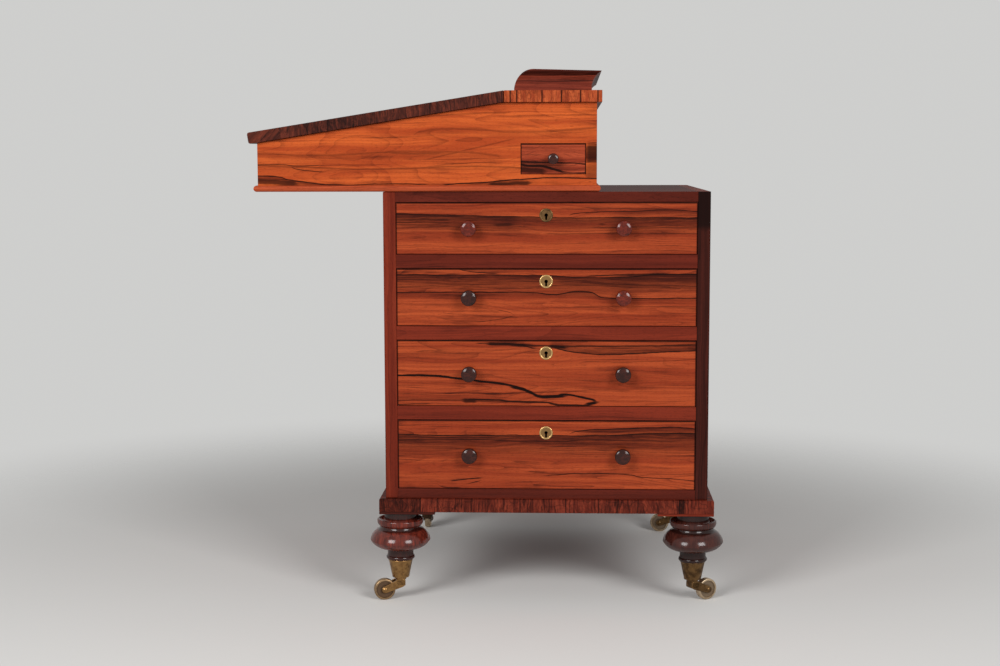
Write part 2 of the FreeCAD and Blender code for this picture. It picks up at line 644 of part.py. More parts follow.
def lid_lock_place():
    """Centre of the lid lock's keyhole plate on the front board."""
    return V(BOX_X0, CASE_D / 2, side_top(BOX_X0) - ESCUTCHEON_DROP)


def base_moulding():
    """A half-round moulding round the foot of the slope box, mitred at the corners."""
    r = MOULD_H / 2
    reach = MOULD_OUT
    profile = [(0, BOX_Z), (reach - r * 0.8, BOX_Z), ((reach, BOX_Z + r), (reach - r * 0.8, BOX_Z + MOULD_H)),
               (0, BOX_Z + MOULD_H)]
    return frame_strips(profile, BOX_X0, BOX_X1, 0, CASE_D)


def hinge_scallops():
    """Cutters round the hinge knuckles, and for the leaves' beds on both sides of the joint."""
    cutters = []
    for y in HINGE_YS:
        half = HINGE_L / 2
        cutters.append(rod(KNUCKLE_R + KNUCKLE_GAP, V(HINGE_X, y - half - KNUCKLE_GAP, TOP_Z),
                           V(HINGE_X, y + half + KNUCKLE_GAP, TOP_Z)))
        reach = HINGE_HALF_GAP + LEAF_T
        cutters.append(block(HINGE_X - reach, HINGE_X + reach, y - half, y + half, TOP_Z - LEAF_H, TOP_Z))
    return cutters


def flat_top():
    """The fixed top behind the hinge line, with softened edges and beds for the hinges."""
    x0 = HINGE_X + HINGE_HALF_GAP
    board = block(x0, FLAT_TOP_X1, -TOP_OUT, CASE_D + TOP_OUT, TOP_Z - FLAT_TOP_T, TOP_Z)
    board = soften(board, EDGE_R * 1.5, lambda a, b: not (near(a.x, x0) and near(b.x, x0)))
    for cutter in hinge_scallops():
        board = board.cut(cutter)
    return board


def gallery_sides():
    """A three-sided coved gallery. Its fillet stands on the flat top and the cove flares out above it."""
    flare, height, z = GALLERY_FLARE, GALLERY_H, TOP_Z
    inner = -GALLERY_T
    profile = [(inner, z), (0, z), (0, z + GALLERY_FILLET), (-0.8, z + GALLERY_FILLET + 0.3),
               ((flare * 0.24, z + height * 0.56), (flare, z + height - 4.0)), (flare + 0.2, z + height),
               (flare - 9.0, z + height), ((inner + flare * 0.30, z + height * 0.66), (inner, z + height * 0.36))]
    x0, x1 = HINGE_X, FLAT_TOP_X1 - GALLERY_INSET
    y0, y1 = -TOP_OUT + GALLERY_INSET, CASE_D + TOP_OUT - GALLERY_INSET
    start = HINGE_X + GALLERY_START
    strips = frame_strips(profile, x0, x1, y0, y1, "near right far", start)
    rear = x1 + flare + 1
    fall = prism_y([(start, z + height), (rear, z + height - GALLERY_FALL), (rear, z + height + 50),
                    (start, z + height + 50)], y0 - 60, y1 + 60)
    nose = GALLERY_NOSE_R
    diagonal = nose * (1 - math.sqrt(0.5))
    front_cut = prism_y([(start, z), ((start + diagonal, z + nose - diagonal), (start + nose, z + nose)),
                         (start + nose, z + height + 60), (start - 10, z + height + 60), (start - 10, z)],
                        y0 - 60, y1 + 60)
    return [strip.cut(fall).cut(front_cut).Solids[0] for strip in strips]


def hinge_set():
    """The lid's butt hinges: fixed leaves with their pins, and moving leaves."""
    fixed, moving = [], []
    pitch = (HINGE_L + KNUCKLE_GAP) / KNUCKLES
    for y in HINGE_YS:
        start = y - HINGE_L / 2
        leaves = {
            0: block(HINGE_X + HINGE_HALF_GAP, HINGE_X + HINGE_HALF_GAP + LEAF_T, start, start + HINGE_L,
                     TOP_Z - LEAF_H, TOP_Z - KNUCKLE_R - KNUCKLE_GAP),
            1: block(HINGE_X - HINGE_HALF_GAP - LEAF_T, HINGE_X - HINGE_HALF_GAP, start, start + HINGE_L,
                     TOP_Z - LEAF_H, TOP_Z - KNUCKLE_R - KNUCKLE_GAP),
        }
        for number in range(KNUCKLES):
            owner = number % 2
            a, b = start + number * pitch, start + (number + 1) * pitch - KNUCKLE_GAP
            side = -1 if owner else 1
            x_near, x_far = HINGE_X + side * HINGE_HALF_GAP, HINGE_X + side * (HINGE_HALF_GAP + LEAF_T)
            neck = block(min(x_near, x_far), max(x_near, x_far), a, b, TOP_Z - KNUCKLE_R - KNUCKLE_GAP - 1, TOP_Z)
            barrel = rod(KNUCKLE_R, V(HINGE_X, a, TOP_Z), V(HINGE_X, b, TOP_Z))
            leaves[owner] = leaves[owner].fuse(neck).fuse(barrel)
        for owner in leaves:
            hole = HINGE_PIN_R + (RUNNING_FIT if owner else 0)
            bore = rod(hole, V(HINGE_X, start - 1, TOP_Z), V(HINGE_X, start + HINGE_L + 1, TOP_Z))
            leaves[owner] = leaves[owner].cut(bore).removeSplitter()
        fixed += [leaves[0], rod(HINGE_PIN_R, V(HINGE_X, start, TOP_Z), V(HINGE_X, start + HINGE_L, TOP_Z))]
        moving.append(leaves[1])
    return fixed, moving


def lid_plane(x, lift):
    """A point lift above the lid's upper face, measured square to it."""
    angle = math.radians(LID_SLOPE)
    return (x - lift * math.sin(angle), lid_top(x) + lift * math.cos(angle))


def lid_board():
    """The sloping lid with a rounded nose, a shallow bed for the leather and scallops for the hinges."""
    rear = HINGE_X - HINGE_HALF_GAP
    r = LID_NOSE_R
    nose_top, nose_low = lid_plane(LID_X0, 0), lid_plane(LID_X0, -LID_T)
    angle = math.radians(LID_SLOPE)
    along = (math.cos(angle), math.sin(angle))
    down = (math.sin(angle), -math.cos(angle))
    def off(p, a, d):
        return (p[0] + along[0] * a + down[0] * d, p[1] + along[1] * a + down[1] * d)
    q = r * (1 - math.sqrt(0.5))
    points = [off(nose_top, r, 0), (rear, lid_top(rear)), (rear, lid_top(rear) - LID_V), off(nose_low, r, 0),
              (off(nose_low, q, -q), off(nose_low, 0, -r)), off(nose_top, 0, r),
              (off(nose_top, q, q), off(nose_top, r, 0))]
    board = prism_y(points, -TOP_OUT, CASE_D + TOP_OUT)
    board = board.cut(leather_sheet())
    for cutter in hinge_scallops():
        board = board.cut(cutter)
    return board


def leather_sheet():
    """The writing leather, let in flush with the lid's upper face."""
    x0, x1 = LID_X0 + LEATHER_MARGIN, HINGE_X - LEATHER_HINGE_MARGIN
    points = [lid_plane(x0, 0), lid_plane(x1, 0), lid_plane(x1, -LEATHER_T), lid_plane(x0, -LEATHER_T)]
    return prism_y(points, LEATHER_MARGIN, CASE_D - LEATHER_MARGIN)


def keepers():
    """Hardwood keepers under the box that run in the case top's slots, with brass plates and screws."""
    solids = []
    plate_top = CASE_TOP_Z - CASE_TOP_T + KEEPER_RECESS - RUN_GAP
    plate_low = plate_top - KEEPER_PLATE_T
    for y in KEEPER_YS:
        stem = block(KEEPER_X - KEEPER_L / 2, KEEPER_X + KEEPER_L / 2, y - KEEPER_W / 2, y + KEEPER_W / 2,
                     plate_top, BOX_Z)
        plate = block(KEEPER_X - KEEPER_PLATE_L / 2, KEEPER_X + KEEPER_PLATE_L / 2, y - KEEPER_PLATE_W / 2,
                      y + KEEPER_PLATE_W / 2, plate_low, plate_top)
        for side in (-1, 1):
            x = KEEPER_X + side * KEEPER_L / 4
            screw = turned([(0, plate_low), (KEEPER_SCREW_R * 2, plate_low), (KEEPER_SCREW_R, plate_low + 2.0),
                            (KEEPER_SCREW_R, BOX_Z + BOX_BOTTOM_T - 1), (0, BOX_Z + BOX_BOTTOM_T - 1)], V(x, y, 0))
            stem, plate = stem.cut(screw), plate.cut(screw)
            solids.append(screw)
        solids += [stem, plate]
    return solids


def box_bottom():
    """The floor of the slope box, bored for the keepers' screws."""
    board = block(BOX_X0 + BOX_SIDE_T, BOX_X1 - BOX_BACK_T, BOX_SIDE_T, CASE_D - BOX_SIDE_T, BOX_Z,
                  BOX_Z + BOX_BOTTOM_T)
    for y in KEEPER_YS:
        for side in (-1, 1):
            x = KEEPER_X + side * KEEPER_L / 4
            board = board.cut(rod(KEEPER_SCREW_R, V(x, y, BOX_Z - 1), V(x, y, BOX_Z + BOX_BOTTOM_T - 1)))
    return board


def small_drawer(x_front, inward, y_mid, width, z0, height, length, front_t, board_t, knob_size):
    """A little drawer whose front faces away from inward: front, four boards and a turned knob.

    It is built in its own frame, with the front's face at 0 and the length along +Y, and then turned.
    """
    gap = PEN_GAP
    half = width / 2 - gap
    front = block(-half, half, 0, front_t, z0 + gap, z0 + height - gap)
    sides = [block(s * half if s < 0 else half - board_t, s * half + board_t if s < 0 else half, front_t, length,
                   z0 + RUN_GAP, z0 + height - 3.0) for s in (-1, 1)]
    floor = z0 + RUN_GAP + 1.0
    bottom = block(-half + board_t, half - board_t, front_t, length, floor, floor + 3.0)
    back = block(-half + board_t, half - board_t, length - board_t, length, floor + 3.0, z0 + height - 4.0)
    place = V(0, 0, z0 + height / 2)
    shank = front_t - 2.0
    front = front.cut(rod(knob_size[0] * 0.4, place, place + V(0, shank, 0)))
    pull = knob(place, V(0, -1, 0), knob_size[0], knob_size[1], knob_size[0] * 0.4, shank)
    pieces = []
    angle = math.degrees(math.atan2(inward.y, inward.x)) - 90.0
    for shape in [front, *sides, bottom, back, pull]:
        shape = shape.copy()
        shape.rotate(V(0, 0, 0), UP, angle)
        shape.translate(V(x_front, y_mid, 0))
        pieces.append(shape)
    return pieces


def pen_drawer():
    """The pen drawer in the near side of the box."""
    return small_drawer((PEN_X0 + PEN_X1) / 2, V(0, 1, 0), 0, PEN_W, PEN_Z0, PEN_H, PEN_L, BOX_SIDE_T,
                        PEN_BOARD_T, (PEN_KNOB_R, PEN_KNOB_OUT))


def pen_drawer_case():
    """Boards that carry the pen drawer inside the box: floor, ceiling, cheek and end."""
    t = PEN_BOARD_T
    end = BOX_SIDE_T + PEN_CASE_L
    z0, z1 = PEN_Z0, PEN_Z0 + PEN_H
    return [block(PEN_X0 - t, PEN_X1, BOX_SIDE_T, end, z0 - t, z0),
            block(PEN_X0 - t, PEN_X1, BOX_SIDE_T, end, z1, z1 + t),
            block(PEN_X0 - t, PEN_X0, BOX_SIDE_T, end, z0, z1),
            block(PEN_X0 - t, PEN_X1, end, end + t, BOX_Z + BOX_BOTTOM_T, z1 + t)]


def inner_bays():
    """Y spans of the two inner drawer openings, beyond the pen drawer's case."""
    low = BOX_SIDE_T + PEN_CASE_L + PEN_BOARD_T
    high = CASE_D - BOX_SIDE_T
    width = (high - low - 3 * INNER_T) / 2
    first = low + INNER_T
    return [(first, first + width), (first + width + INNER_T, first + 2 * width + INNER_T)]


def inner_division():
    """Uprights and a shelf that make two drawer openings with pigeonholes above them."""
    x0, x1 = PEN_X1 - INNER_FRONT_X, PEN_X1
    z0 = BOX_Z + BOX_BOTTOM_T
    top = TOP_Z - FLAT_TOP_T
    bays = inner_bays()
    uprights = [bays[0][0] - INNER_T, bays[0][1], bays[1][1]]
    solids = [block(x0, x1, y, y + INNER_T, z0, top) for y in uprights]
    for low, high in bays:
        solids.append(block(x0, x1, low, high, z0 + INNER_DRAWER_H, z0 + INNER_DRAWER_H + INNER_T))
    return solids


def inner_drawer(number):
    """One of the two little drawers inside, which slides towards the sitter."""
    low, high = inner_bays()[number]
    x_front = PEN_X1 - INNER_FRONT_X
    return small_drawer(x_front, V(1, 0, 0), (low + high) / 2, high - low, BOX_Z + BOX_BOTTOM_T, INNER_DRAWER_H,
                        INNER_FRONT_X - 2.0, INNER_FRONT_T, PEN_BOARD_T - 1.0, (INNER_KNOB_R, INNER_KNOB_OUT))


# ---- the whole desk --------------------------------------------------------------------------------
def build_nodes():
    """Every node's solids by name, in the working frame."""
    nodes = {
        "case_front_panel": [end_panel(0, PANEL_T)],
        "case_back_panel": [end_panel(CASE_W - PANEL_T, CASE_W)],
        "case_top": [case_top()],
        "case_bottom": [block(OPEN_X0, OPEN_X1, 0, CASE_D, CASE_Z, CASE_Z + CASE_BOTTOM_T)],
        "case_dummy_side": [dummy_side()],
        "dummy_fronts": dummy_fronts(),
        "drawer_rails": drawer_rails(),
        "dust_frames": dust_frames(),
        "plinth_frame": plinth_frame(),
        "plinth_corner_blocks": corner_blocks(),
        "turned_feet": [foot(x, y) for x, y in FOOT_CENTRES],
        "castor_sockets": [castor_socket(x, y) for x, y in FOOT_CENTRES],
    }
    outward = V(0, 1, 0)
    nodes["dummy_knobs"] = [knob(place, outward, KNOB_R, KNOB_OUT, KNOB_SHANK_R, dummy_shank())
                            for index in range(len(OPENING_H)) for place in knob_places(index, CASE_D)]
    nodes["dummy_escutcheons"] = [escutcheon(escutcheon_place(index, CASE_D), outward * -1)
                                  for index in range(len(OPENING_H))]
    for number, ((x, y), heading) in enumerate(zip(FOOT_CENTRES, CASTOR_HEADINGS), 1):
        horn, pin, wheel = castor_pieces(x, y, heading)
        nodes[f"castor_{number}_horn"] = [horn, pin]
        nodes[f"castor_{number}_wheel"] = [wheel]
    for index in range(len(OPENING_H)):
        name = f"drawer_{index + 1}"
        nodes[name + "_front"] = [drawer_front(index)]
        nodes[name + "_box"] = drawer_box(index)
        nodes[name + "_knobs"] = [knob(place, V(0, -1, 0), KNOB_R, KNOB_OUT, KNOB_SHANK_R, KNOB_SHANK_L)
                                  for place in knob_places(index, 0)]
        place = escutcheon_place(index, 0)
        nodes[name + "_lock"] = [escutcheon(place, V(0, 1, 0)), lock_body(place, V(0, 1, 0))]
    fixed_leaves, moving_leaves = hinge_set()
    nodes["box_front"] = [box_front()]
    nodes["box_near_side"] = [box_near_side()]
    nodes["box_far_side"] = [box_side(CASE_D - BOX_SIDE_T, CASE_D)]
    nodes["box_back"] = [block(BOX_X1 - BOX_BACK_T, BOX_X1, BOX_SIDE_T, CASE_D - BOX_SIDE_T, BOX_Z,
                               TOP_Z - FLAT_TOP_T)]
    nodes["box_bottom"] = [box_bottom()]
    nodes["box_base_moulding"] = base_moulding()
    nodes["flat_top"] = [flat_top()]
    nodes["gallery"] = gallery_sides()
    nodes["lid_hinge_fixed_leaves"] = fixed_leaves
    nodes["top_keepers"] = keepers()
    nodes["pen_drawer_case"] = pen_drawer_case()
    nodes["inner_division"] = inner_division()
    lock_place = lid_lock_place()
    nodes["lid_lock"] = [escutcheon(lock_place, V(1, 0, 0)),
                         lock_body(lock_place - V(FRONT_T - BOX_SIDE_T, 0, 0), V(1, 0, 0))]
    nodes["lid_board"] = [lid_board()]
    nodes["lid_leather"] = [leather_sheet()]
    nodes["lid_hinge_moving_leaves"] = moving_leaves
    pen = pen_drawer()
    nodes["pen_drawer_front"] = [pen[0]]
    nodes["pen_drawer_box"] = pen[1:5]
    nodes["pen_drawer_knob"] = [pen[5]]
    nodes["inner_drawer_left"] = inner_drawer(0)
    nodes["inner_drawer_right"] = inner_drawer(1)
    return nodes


def bottom_centre(nodes):
    """The bottom centre of the box round all the solids."""
    boxes = [solid.optimalBoundingBox(False, False) for solids in nodes.values() for solid in solids]
    x = (min(b.XMin for b in boxes) + max(b.XMax for b in boxes)) / 2
    y = (min(b.YMin for b in boxes) + max(b.YMax for b in boxes)) / 2
    return V(x, y, min(b.ZMin for b in boxes))


NODES = build_nodes()
ORIGIN = bottom_centre(NODES)
os.makedirs("parts", exist_ok=True)
for node_name, node_solids in NODES.items():
    moved = [solid.translated(ORIGIN * -1) for solid in node_solids]
    whole = moved[0] if len(moved) == 1 else Part.Compound(moved)
    whole.exportStep(f"parts/{node_name}.step")
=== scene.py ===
"""Visual model of a small rosewood writing desk with side drawers and a sliding slope top.

Shapes are worked out in millimetres from the case's near left corner on the floor: +X runs from the sitter
to the back of the desk, +Y from the drawer face to the dummy face and +Z up. They become pieces in metres in
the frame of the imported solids, where each one rides on the body that carries it.
"""
import json
import logging
import math
from dataclasses import dataclass, replace
from enum import Enum
from functools import partial
from typing import Callable, Optional, Sequence, Union

import bpy
import numpy as np
from mathutils import Matrix, Vector


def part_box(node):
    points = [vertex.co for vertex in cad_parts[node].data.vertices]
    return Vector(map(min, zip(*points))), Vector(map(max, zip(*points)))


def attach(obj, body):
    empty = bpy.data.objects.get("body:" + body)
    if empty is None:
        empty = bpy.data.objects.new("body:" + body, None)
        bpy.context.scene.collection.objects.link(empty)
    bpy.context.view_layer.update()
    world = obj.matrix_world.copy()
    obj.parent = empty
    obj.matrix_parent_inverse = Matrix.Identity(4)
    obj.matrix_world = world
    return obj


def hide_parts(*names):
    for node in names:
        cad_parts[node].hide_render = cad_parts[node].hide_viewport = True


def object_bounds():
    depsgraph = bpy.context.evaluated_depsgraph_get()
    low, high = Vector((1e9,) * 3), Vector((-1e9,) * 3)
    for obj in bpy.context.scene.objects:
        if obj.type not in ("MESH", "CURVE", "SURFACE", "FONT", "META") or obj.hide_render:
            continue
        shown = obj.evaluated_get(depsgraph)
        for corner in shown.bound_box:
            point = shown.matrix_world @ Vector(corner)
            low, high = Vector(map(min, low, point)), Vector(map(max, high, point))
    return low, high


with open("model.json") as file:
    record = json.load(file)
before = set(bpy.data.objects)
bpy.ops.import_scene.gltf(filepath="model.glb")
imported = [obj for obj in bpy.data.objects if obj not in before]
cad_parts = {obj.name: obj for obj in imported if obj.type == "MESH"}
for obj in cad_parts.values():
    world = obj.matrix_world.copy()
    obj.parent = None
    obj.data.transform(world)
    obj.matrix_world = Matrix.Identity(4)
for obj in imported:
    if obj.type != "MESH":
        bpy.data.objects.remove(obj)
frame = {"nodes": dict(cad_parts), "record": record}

CAD_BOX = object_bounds()
LOG = logging.getLogger("desk")
MM = 0.001
DATUM = np.array([*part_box("case_front_panel")[0].xy, 0.0]) / MM
SHARP_EDGE = math.radians(33.0)

Triple = tuple[float, float, float]
Pair = tuple[float, float]


# ---- surfaces --------------------------------------------------------------------------------------
@dataclass(frozen=True)
class Box:
    """A rectangular space between two corners, in desk millimetres."""

    low: Triple
    high: Triple

    @classmethod
    def of(cls, node: str) -> "Box":
        """The space that a solid of the frame fills."""
        low, high = (np.array(corner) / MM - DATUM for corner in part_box(node))
        return cls(tuple(low), tuple(high))

    @property
    def centre(self) -> Triple:
        """The middle of the box."""
        return tuple((a + b) / 2 for a, b in zip(self.low, self.high))

    @property
    def size(self) -> Triple:
        """The box's length along each axis."""
        return tuple(b - a for a, b in zip(self.low, self.high))


@dataclass
class Shape:
    """Faces in desk millimetres: points, the point of each face corner, and the corners of each face."""

    points: np.ndarray
    loops: np.ndarray
    counts: np.ndarray

    def __add__(self, other: "Shape") -> "Shape":
        """Both shapes as one."""
        return Shape(np.vstack([self.points, other.points]),
                     np.concatenate([self.loops, other.loops + len(self.points)]),
                     np.concatenate([self.counts, other.counts]))

    def starts(self) -> np.ndarray:
        """The first corner of each face."""
        return np.concatenate([[0], np.cumsum(self.counts)[:-1]])

    def outward(self) -> "Shape":
        """The closed shape with its faces pointing out.

        The volume is a sixth of the sum, over every face corner, of the triple product of the face's first
        point, this corner's point and the next one's. Where it is negative, each face's order is turned.
        """
        first = np.repeat(self.starts(), self.counts)
        here = np.arange(len(self.loops))
        last = first + np.repeat(self.counts, self.counts) - 1
        following = np.where(here == last, first, here + 1)
        a, b, c = (self.points[self.loops[index]] for index in (first, here, following))
        if np.einsum("ij,ij->i", a, np.cross(b, c)).sum() >= 0:
            return self
        return Shape(self.points, self.loops[first + last - here], self.counts)

    def moved(self, x: float = 0.0, y: float = 0.0, z: float = 0.0) -> "Shape":
        """The shape shifted."""
        return Shape(self.points + [x, y, z], self.loops, self.counts)

    def tilted(self, degrees: float, origin: Triple) -> "Shape":
        """The shape tipped up towards +X about a level line through its own zero, then put at origin."""
        c, s = math.cos(math.radians(degrees)), math.sin(math.radians(degrees))
        tip = np.array([[c, 0.0, s], [0.0, 1.0, 0.0], [-s, 0.0, c]])
        return Shape(self.points @ tip + np.array(origin), self.loops, self.counts)

    def turned(self, degrees: float, centre: Pair = (0.0, 0.0)) -> "Shape":
        """The shape turned about an upright axis through centre."""
        c, s = math.cos(math.radians(degrees)), math.sin(math.radians(degrees))
        pivot = np.array([*centre, 0.0])
        turn = np.array([[c, s, 0.0], [-s, c, 0.0], [0.0, 0.0, 1.0]])
        return Shape((self.points - pivot) @ turn + pivot, self.loops, self.counts)


def joined(shapes: Sequence[Shape]) -> Shape:
    """Several shapes as one."""
    whole = shapes[0]
    for shape in shapes[1:]:
        whole = whole + shape
    return whole


def skin(grid: np.ndarray, round_rows: bool = False, round_cols: bool = False) -> Shape:
    """Four-sided faces over a grid of points, one for each step of its two parameters.

    Args:
        grid: points by row and column.
        round_rows: True where the last row runs on into the first.
        round_cols: True where the last column runs on into the first.

    Returns:
        The surface.
    """
    rows, cols = grid.shape[:2]
    index = np.arange(rows * cols).reshape(rows, cols)
    if round_rows:
        index = np.vstack([index, index[:1]])
    if round_cols:
        index = np.hstack([index, index[:, :1]])
    quads = np.stack([index[:-1, :-1], index[1:, :-1], index[1:, 1:], index[:-1, 1:]], axis=-1).reshape(-1, 4)
    return Shape(grid.reshape(-1, 3).astype(float), quads.ravel(), np.full(len(quads), 4))


def capped(grid: np.ndarray) -> Shape:
    """A closed body from a stack of closed rings, with one face over each end ring."""
    body = skin(grid, round_cols=True)
    rows, cols = grid.shape[:2]
    ring = np.arange(cols)
    loops = np.concatenate([body.loops, ring, (rows - 1) * cols + ring[::-1]])
    return Shape(body.points, loops, np.concatenate([body.counts, [cols, cols]])).outward()


class Axis(Enum):
    """The way that a plate's depth or a turned piece's height runs: its two sides, then itself."""

    UP = ((1, 0, 0), (0, 1, 0), (0, 0, 1))
    TO_NEAR = ((1, 0, 0), (0, 0, 1), (0, -1, 0))
    TO_FAR = ((-1, 0, 0), (0, 0, 1), (0, 1, 0))
    TO_SITTER = ((0, -1, 0), (0, 0, 1), (-1, 0, 0))
    ALONG_SIDE = ((0, 1, 0), (0, 0, 1), (-1, 0, 0))

    def place(self, local: np.ndarray, origin: Sequence[float] = (0.0, 0.0, 0.0)) -> np.ndarray:
        """Points given by side, side and height along this axis, laid out from origin."""
        return local @ np.array(self.value, float) + np.array(origin, float)


class Profile:
    """An outline of straight and round stretches in a plane, drawn from point to point."""

    def __init__(self, *start: float) -> None:
        """Starts the outline at a point."""
        self.stretches = [np.array([start], float)]

    def to(self, *points: Pair) -> "Profile":
        """Goes straight on through points."""
        self.stretches.append(np.array(points, float))
        return self

    def arc(self, through: Pair, end: Pair, steps: int = 10) -> "Profile":
        """Goes on round a circle through one point to another.

        With the three points as complex numbers a, b and c and w = (c - a) / (b - a), the centre is
        a + (b - a) (w - |w|^2) / (w - its conjugate). The sweep is the turn from a to c that passes b.

        Args:
            through: a point on the way.
            end: the end of the round stretch.
            steps: how many straight steps stand for it.

        Returns:
            The outline itself.
        """
        a, b, c = (complex(*point) for point in (self.stretches[-1][-1], through, end))
        w = (c - a) / (b - a)
        centre = a + (b - a) * (w - abs(w) ** 2) / (w - w.conjugate())
        turn = [(np.angle((point - centre) / (a - centre))) % (2 * math.pi) for point in (b, c)]
        sweep = turn[1] if turn[0] < turn[1] else turn[1] - 2 * math.pi
        round_points = centre + (a - centre) * np.exp(1j * sweep * np.arange(1, steps + 1) / steps)
        self.stretches.append(np.column_stack([round_points.real, round_points.imag]))
        return self

    def points(self) -> np.ndarray:
        """All the outline's points."""
        return np.vstack(self.stretches)


def lathe(profile: np.ndarray, origin: Sequence[float], axis: Axis = Axis.UP, turns: int = 64) -> Shape:
    """A turned piece: each point of a (radius, height) outline goes round the axis.

    At angle t a point lies at radius cos t, radius sin t and its own height. An outline whose ends are on the
    axis gets one point at each pole, and any other outline closes on itself as a ring.

    Args:
        profile: the outline.
        origin: where radius and height are nothing.
        axis: the direction of height.
        turns: how many steps go round.

    Returns:
        The closed piece.
    """
    angle = np.arange(turns) * 2 * math.pi / turns
    has_poles = profile[0, 0] < 1e-6 and profile[-1, 0] < 1e-6
    rings = profile[1:-1] if has_poles else profile
    radius, height = rings[:, :1], rings[:, 1:]
    grid = np.stack([radius * np.cos(angle), radius * np.sin(angle), height + 0 * angle], axis=-1)
    body = skin(grid, round_rows=not has_poles, round_cols=True)
    if has_poles:
        poles = np.array([[0.0, 0.0, profile[0, 1]], [0.0, 0.0, profile[-1, 1]]])
        ring = np.arange(turns)
        after = np.roll(ring, -1)
        top = (len(rings) - 1) * turns
        count = len(body.points)
        low_fan = np.column_stack([ring, after, np.full(turns, count)])
        high_fan = np.column_stack([after + top, ring + top, np.full(turns, count + 1)])
        loops = np.concatenate([body.loops, low_fan.ravel(), high_fan.ravel()])
        body = Shape(np.vstack([body.points, poles]), loops,
                     np.concatenate([body.counts, np.full(2 * turns, 3)]))
    return Shape(axis.place(body.points, origin), body.loops, body.counts).outward()


def board(box: Box, radius: float = 0.8, steps: int = 3) -> Shape:
    """A board with quarter-round arrises and corners.

    Rounded rectangles are stacked through its thinnest side. At turn t of the arris, the corner radius is
    r sin t and the depth r (1 - cos t), so that corners come out as parts of a ball.

    Args:
        box: the space that the board fills.
        radius: the arris.
        steps: how many steps stand for a quarter turn.

    Returns:
        The closed board.
    """
    low, high = np.array(box.low), np.array(box.high)
    size = high - low
    order = np.argsort(-size, kind="stable")
    r = min(radius, size.min() * 0.45)
    turn = np.linspace(0.17, 1.0, steps + 1) * math.pi / 2
    corner = r * np.sin(turn)
    depth = r * (np.cos(turn[0]) - np.cos(turn))
    corner = np.concatenate([corner, corner[::-1]])[:, None]
    level = np.concatenate([depth, size[order[2]] - depth[::-1]])[:, None]
    angle = (np.linspace(0, math.pi / 2, steps + 1) + np.arange(4)[:, None] * math.pi / 2).ravel()
    side_u = np.repeat([1, -1, -1, 1], steps + 1)
    side_v = np.repeat([1, 1, -1, -1], steps + 1)
    grid = np.empty((len(level), len(angle), 3))
    grid[..., order[0]] = side_u * (size[order[0]] / 2 - r) + corner * np.cos(angle) + size[order[0]] / 2
    grid[..., order[1]] = side_v * (size[order[1]] / 2 - r) + corner * np.sin(angle) + size[order[1]] / 2
    grid[..., order[2]] = level + 0 * angle
    return capped(grid + low)


def inset(outline: np.ndarray, distance: float) -> np.ndarray:
    """A closed outline drawn in by a distance: each corner moves by e (n1 + n2) / (1 + n1.n2), n inward."""
    ahead = np.roll(outline, -1, axis=0) - outline
    area = np.sum(outline[:, 0] * np.roll(outline[:, 1], -1) - outline[:, 1] * np.roll(outline[:, 0], -1))
    normal = np.column_stack([-ahead[:, 1], ahead[:, 0]]) * math.copysign(1.0, area)
    normal /= np.linalg.norm(normal, axis=1, keepdims=True)
    before = np.roll(normal, 1, axis=0)
    share = 1 + np.sum(normal * before, axis=1, keepdims=True)
    return outline + distance * (normal + before) / share


def plate(outline: np.ndarray, low: float, high: float, axis: Axis, radius: float = 0.8,
          steps: int = 3) -> Shape:
    """A flat plate of any outline with quarter-round arrises.

    Copies of the outline are stacked along the axis. At turn t of the arris a copy is drawn in by
    r (1 - sin t) and lies r (1 - cos t) from the face.

    Args:
        outline: corners by the axis's two sides.
        low: where the plate starts along the axis.
        high: where it ends.
        axis: the direction of its depth.
        radius: the arris.
        steps: how many steps stand for a quarter turn.

    Returns:
        The closed plate.
    """
    turn = np.linspace(0.0, math.pi / 2, steps + 1)
    drawn_in = radius * (1 - np.sin(turn))
    depth = radius * (1 - np.cos(turn))
    rings = [inset(outline, e) for e in np.concatenate([drawn_in, drawn_in[::-1]])]
    levels = np.concatenate([low + depth, high - depth[::-1]])
    rows = [np.column_stack([ring, np.full(len(ring), level)]) for ring, level in zip(rings, levels)]
    return capped(axis.place(np.stack(rows)))


def mitred_strips(section: np.ndarray, low: Pair, high: Pair) -> list[Shape]:
    """Four mitred strips of one section round a rectangle, from the near side on through the back.

    At a corner, a section point (outward, height) lies at the corner plus outward times the sum of the two
    directions away from the rectangle there. A strip spans two such rings.

    Args:
        section: the closed section.
        low: the rectangle's low corner.
        high: its high corner.

    Returns:
        The strips: near, back, far and sitter's.
    """
    corners = np.array([low, (high[0], low[1]), high, (low[0], high[1])], float)
    away = np.array([(-1, -1), (1, -1), (1, 1), (-1, 1)], float)
    rings = [np.column_stack([corner + section[:, :1] * out, section[:, 1]])
             for corner, out in zip(corners, away)]
    return [capped(np.stack([rings[k], rings[(k + 1) % 4]])) for k in range(4)]


def link(start: Pair, start_radius: float, end: Pair, end_radius: float, steps: int = 14) -> np.ndarray:
    """The outline round two discs and their outer tangents.

    With b the bearing from start to end, the tangents touch both discs at b + a and b - a, where cos a is the
    difference of the radii over the distance. The start's disc covers the turn from b + a round its far side
    to b - a, and the end's disc the rest.
    """
    gap = np.subtract(end, start)
    bearing = math.atan2(gap[1], gap[0])
    touch = math.acos((start_radius - end_radius) / math.hypot(*gap))
    far = bearing + np.linspace(touch, 2 * math.pi - touch, steps)
    near = bearing + np.linspace(-touch, touch, steps)
    return np.vstack([np.column_stack([np.cos(far), np.sin(far)]) * start_radius + start,
                      np.column_stack([np.cos(near), np.sin(near)]) * end_radius + end])


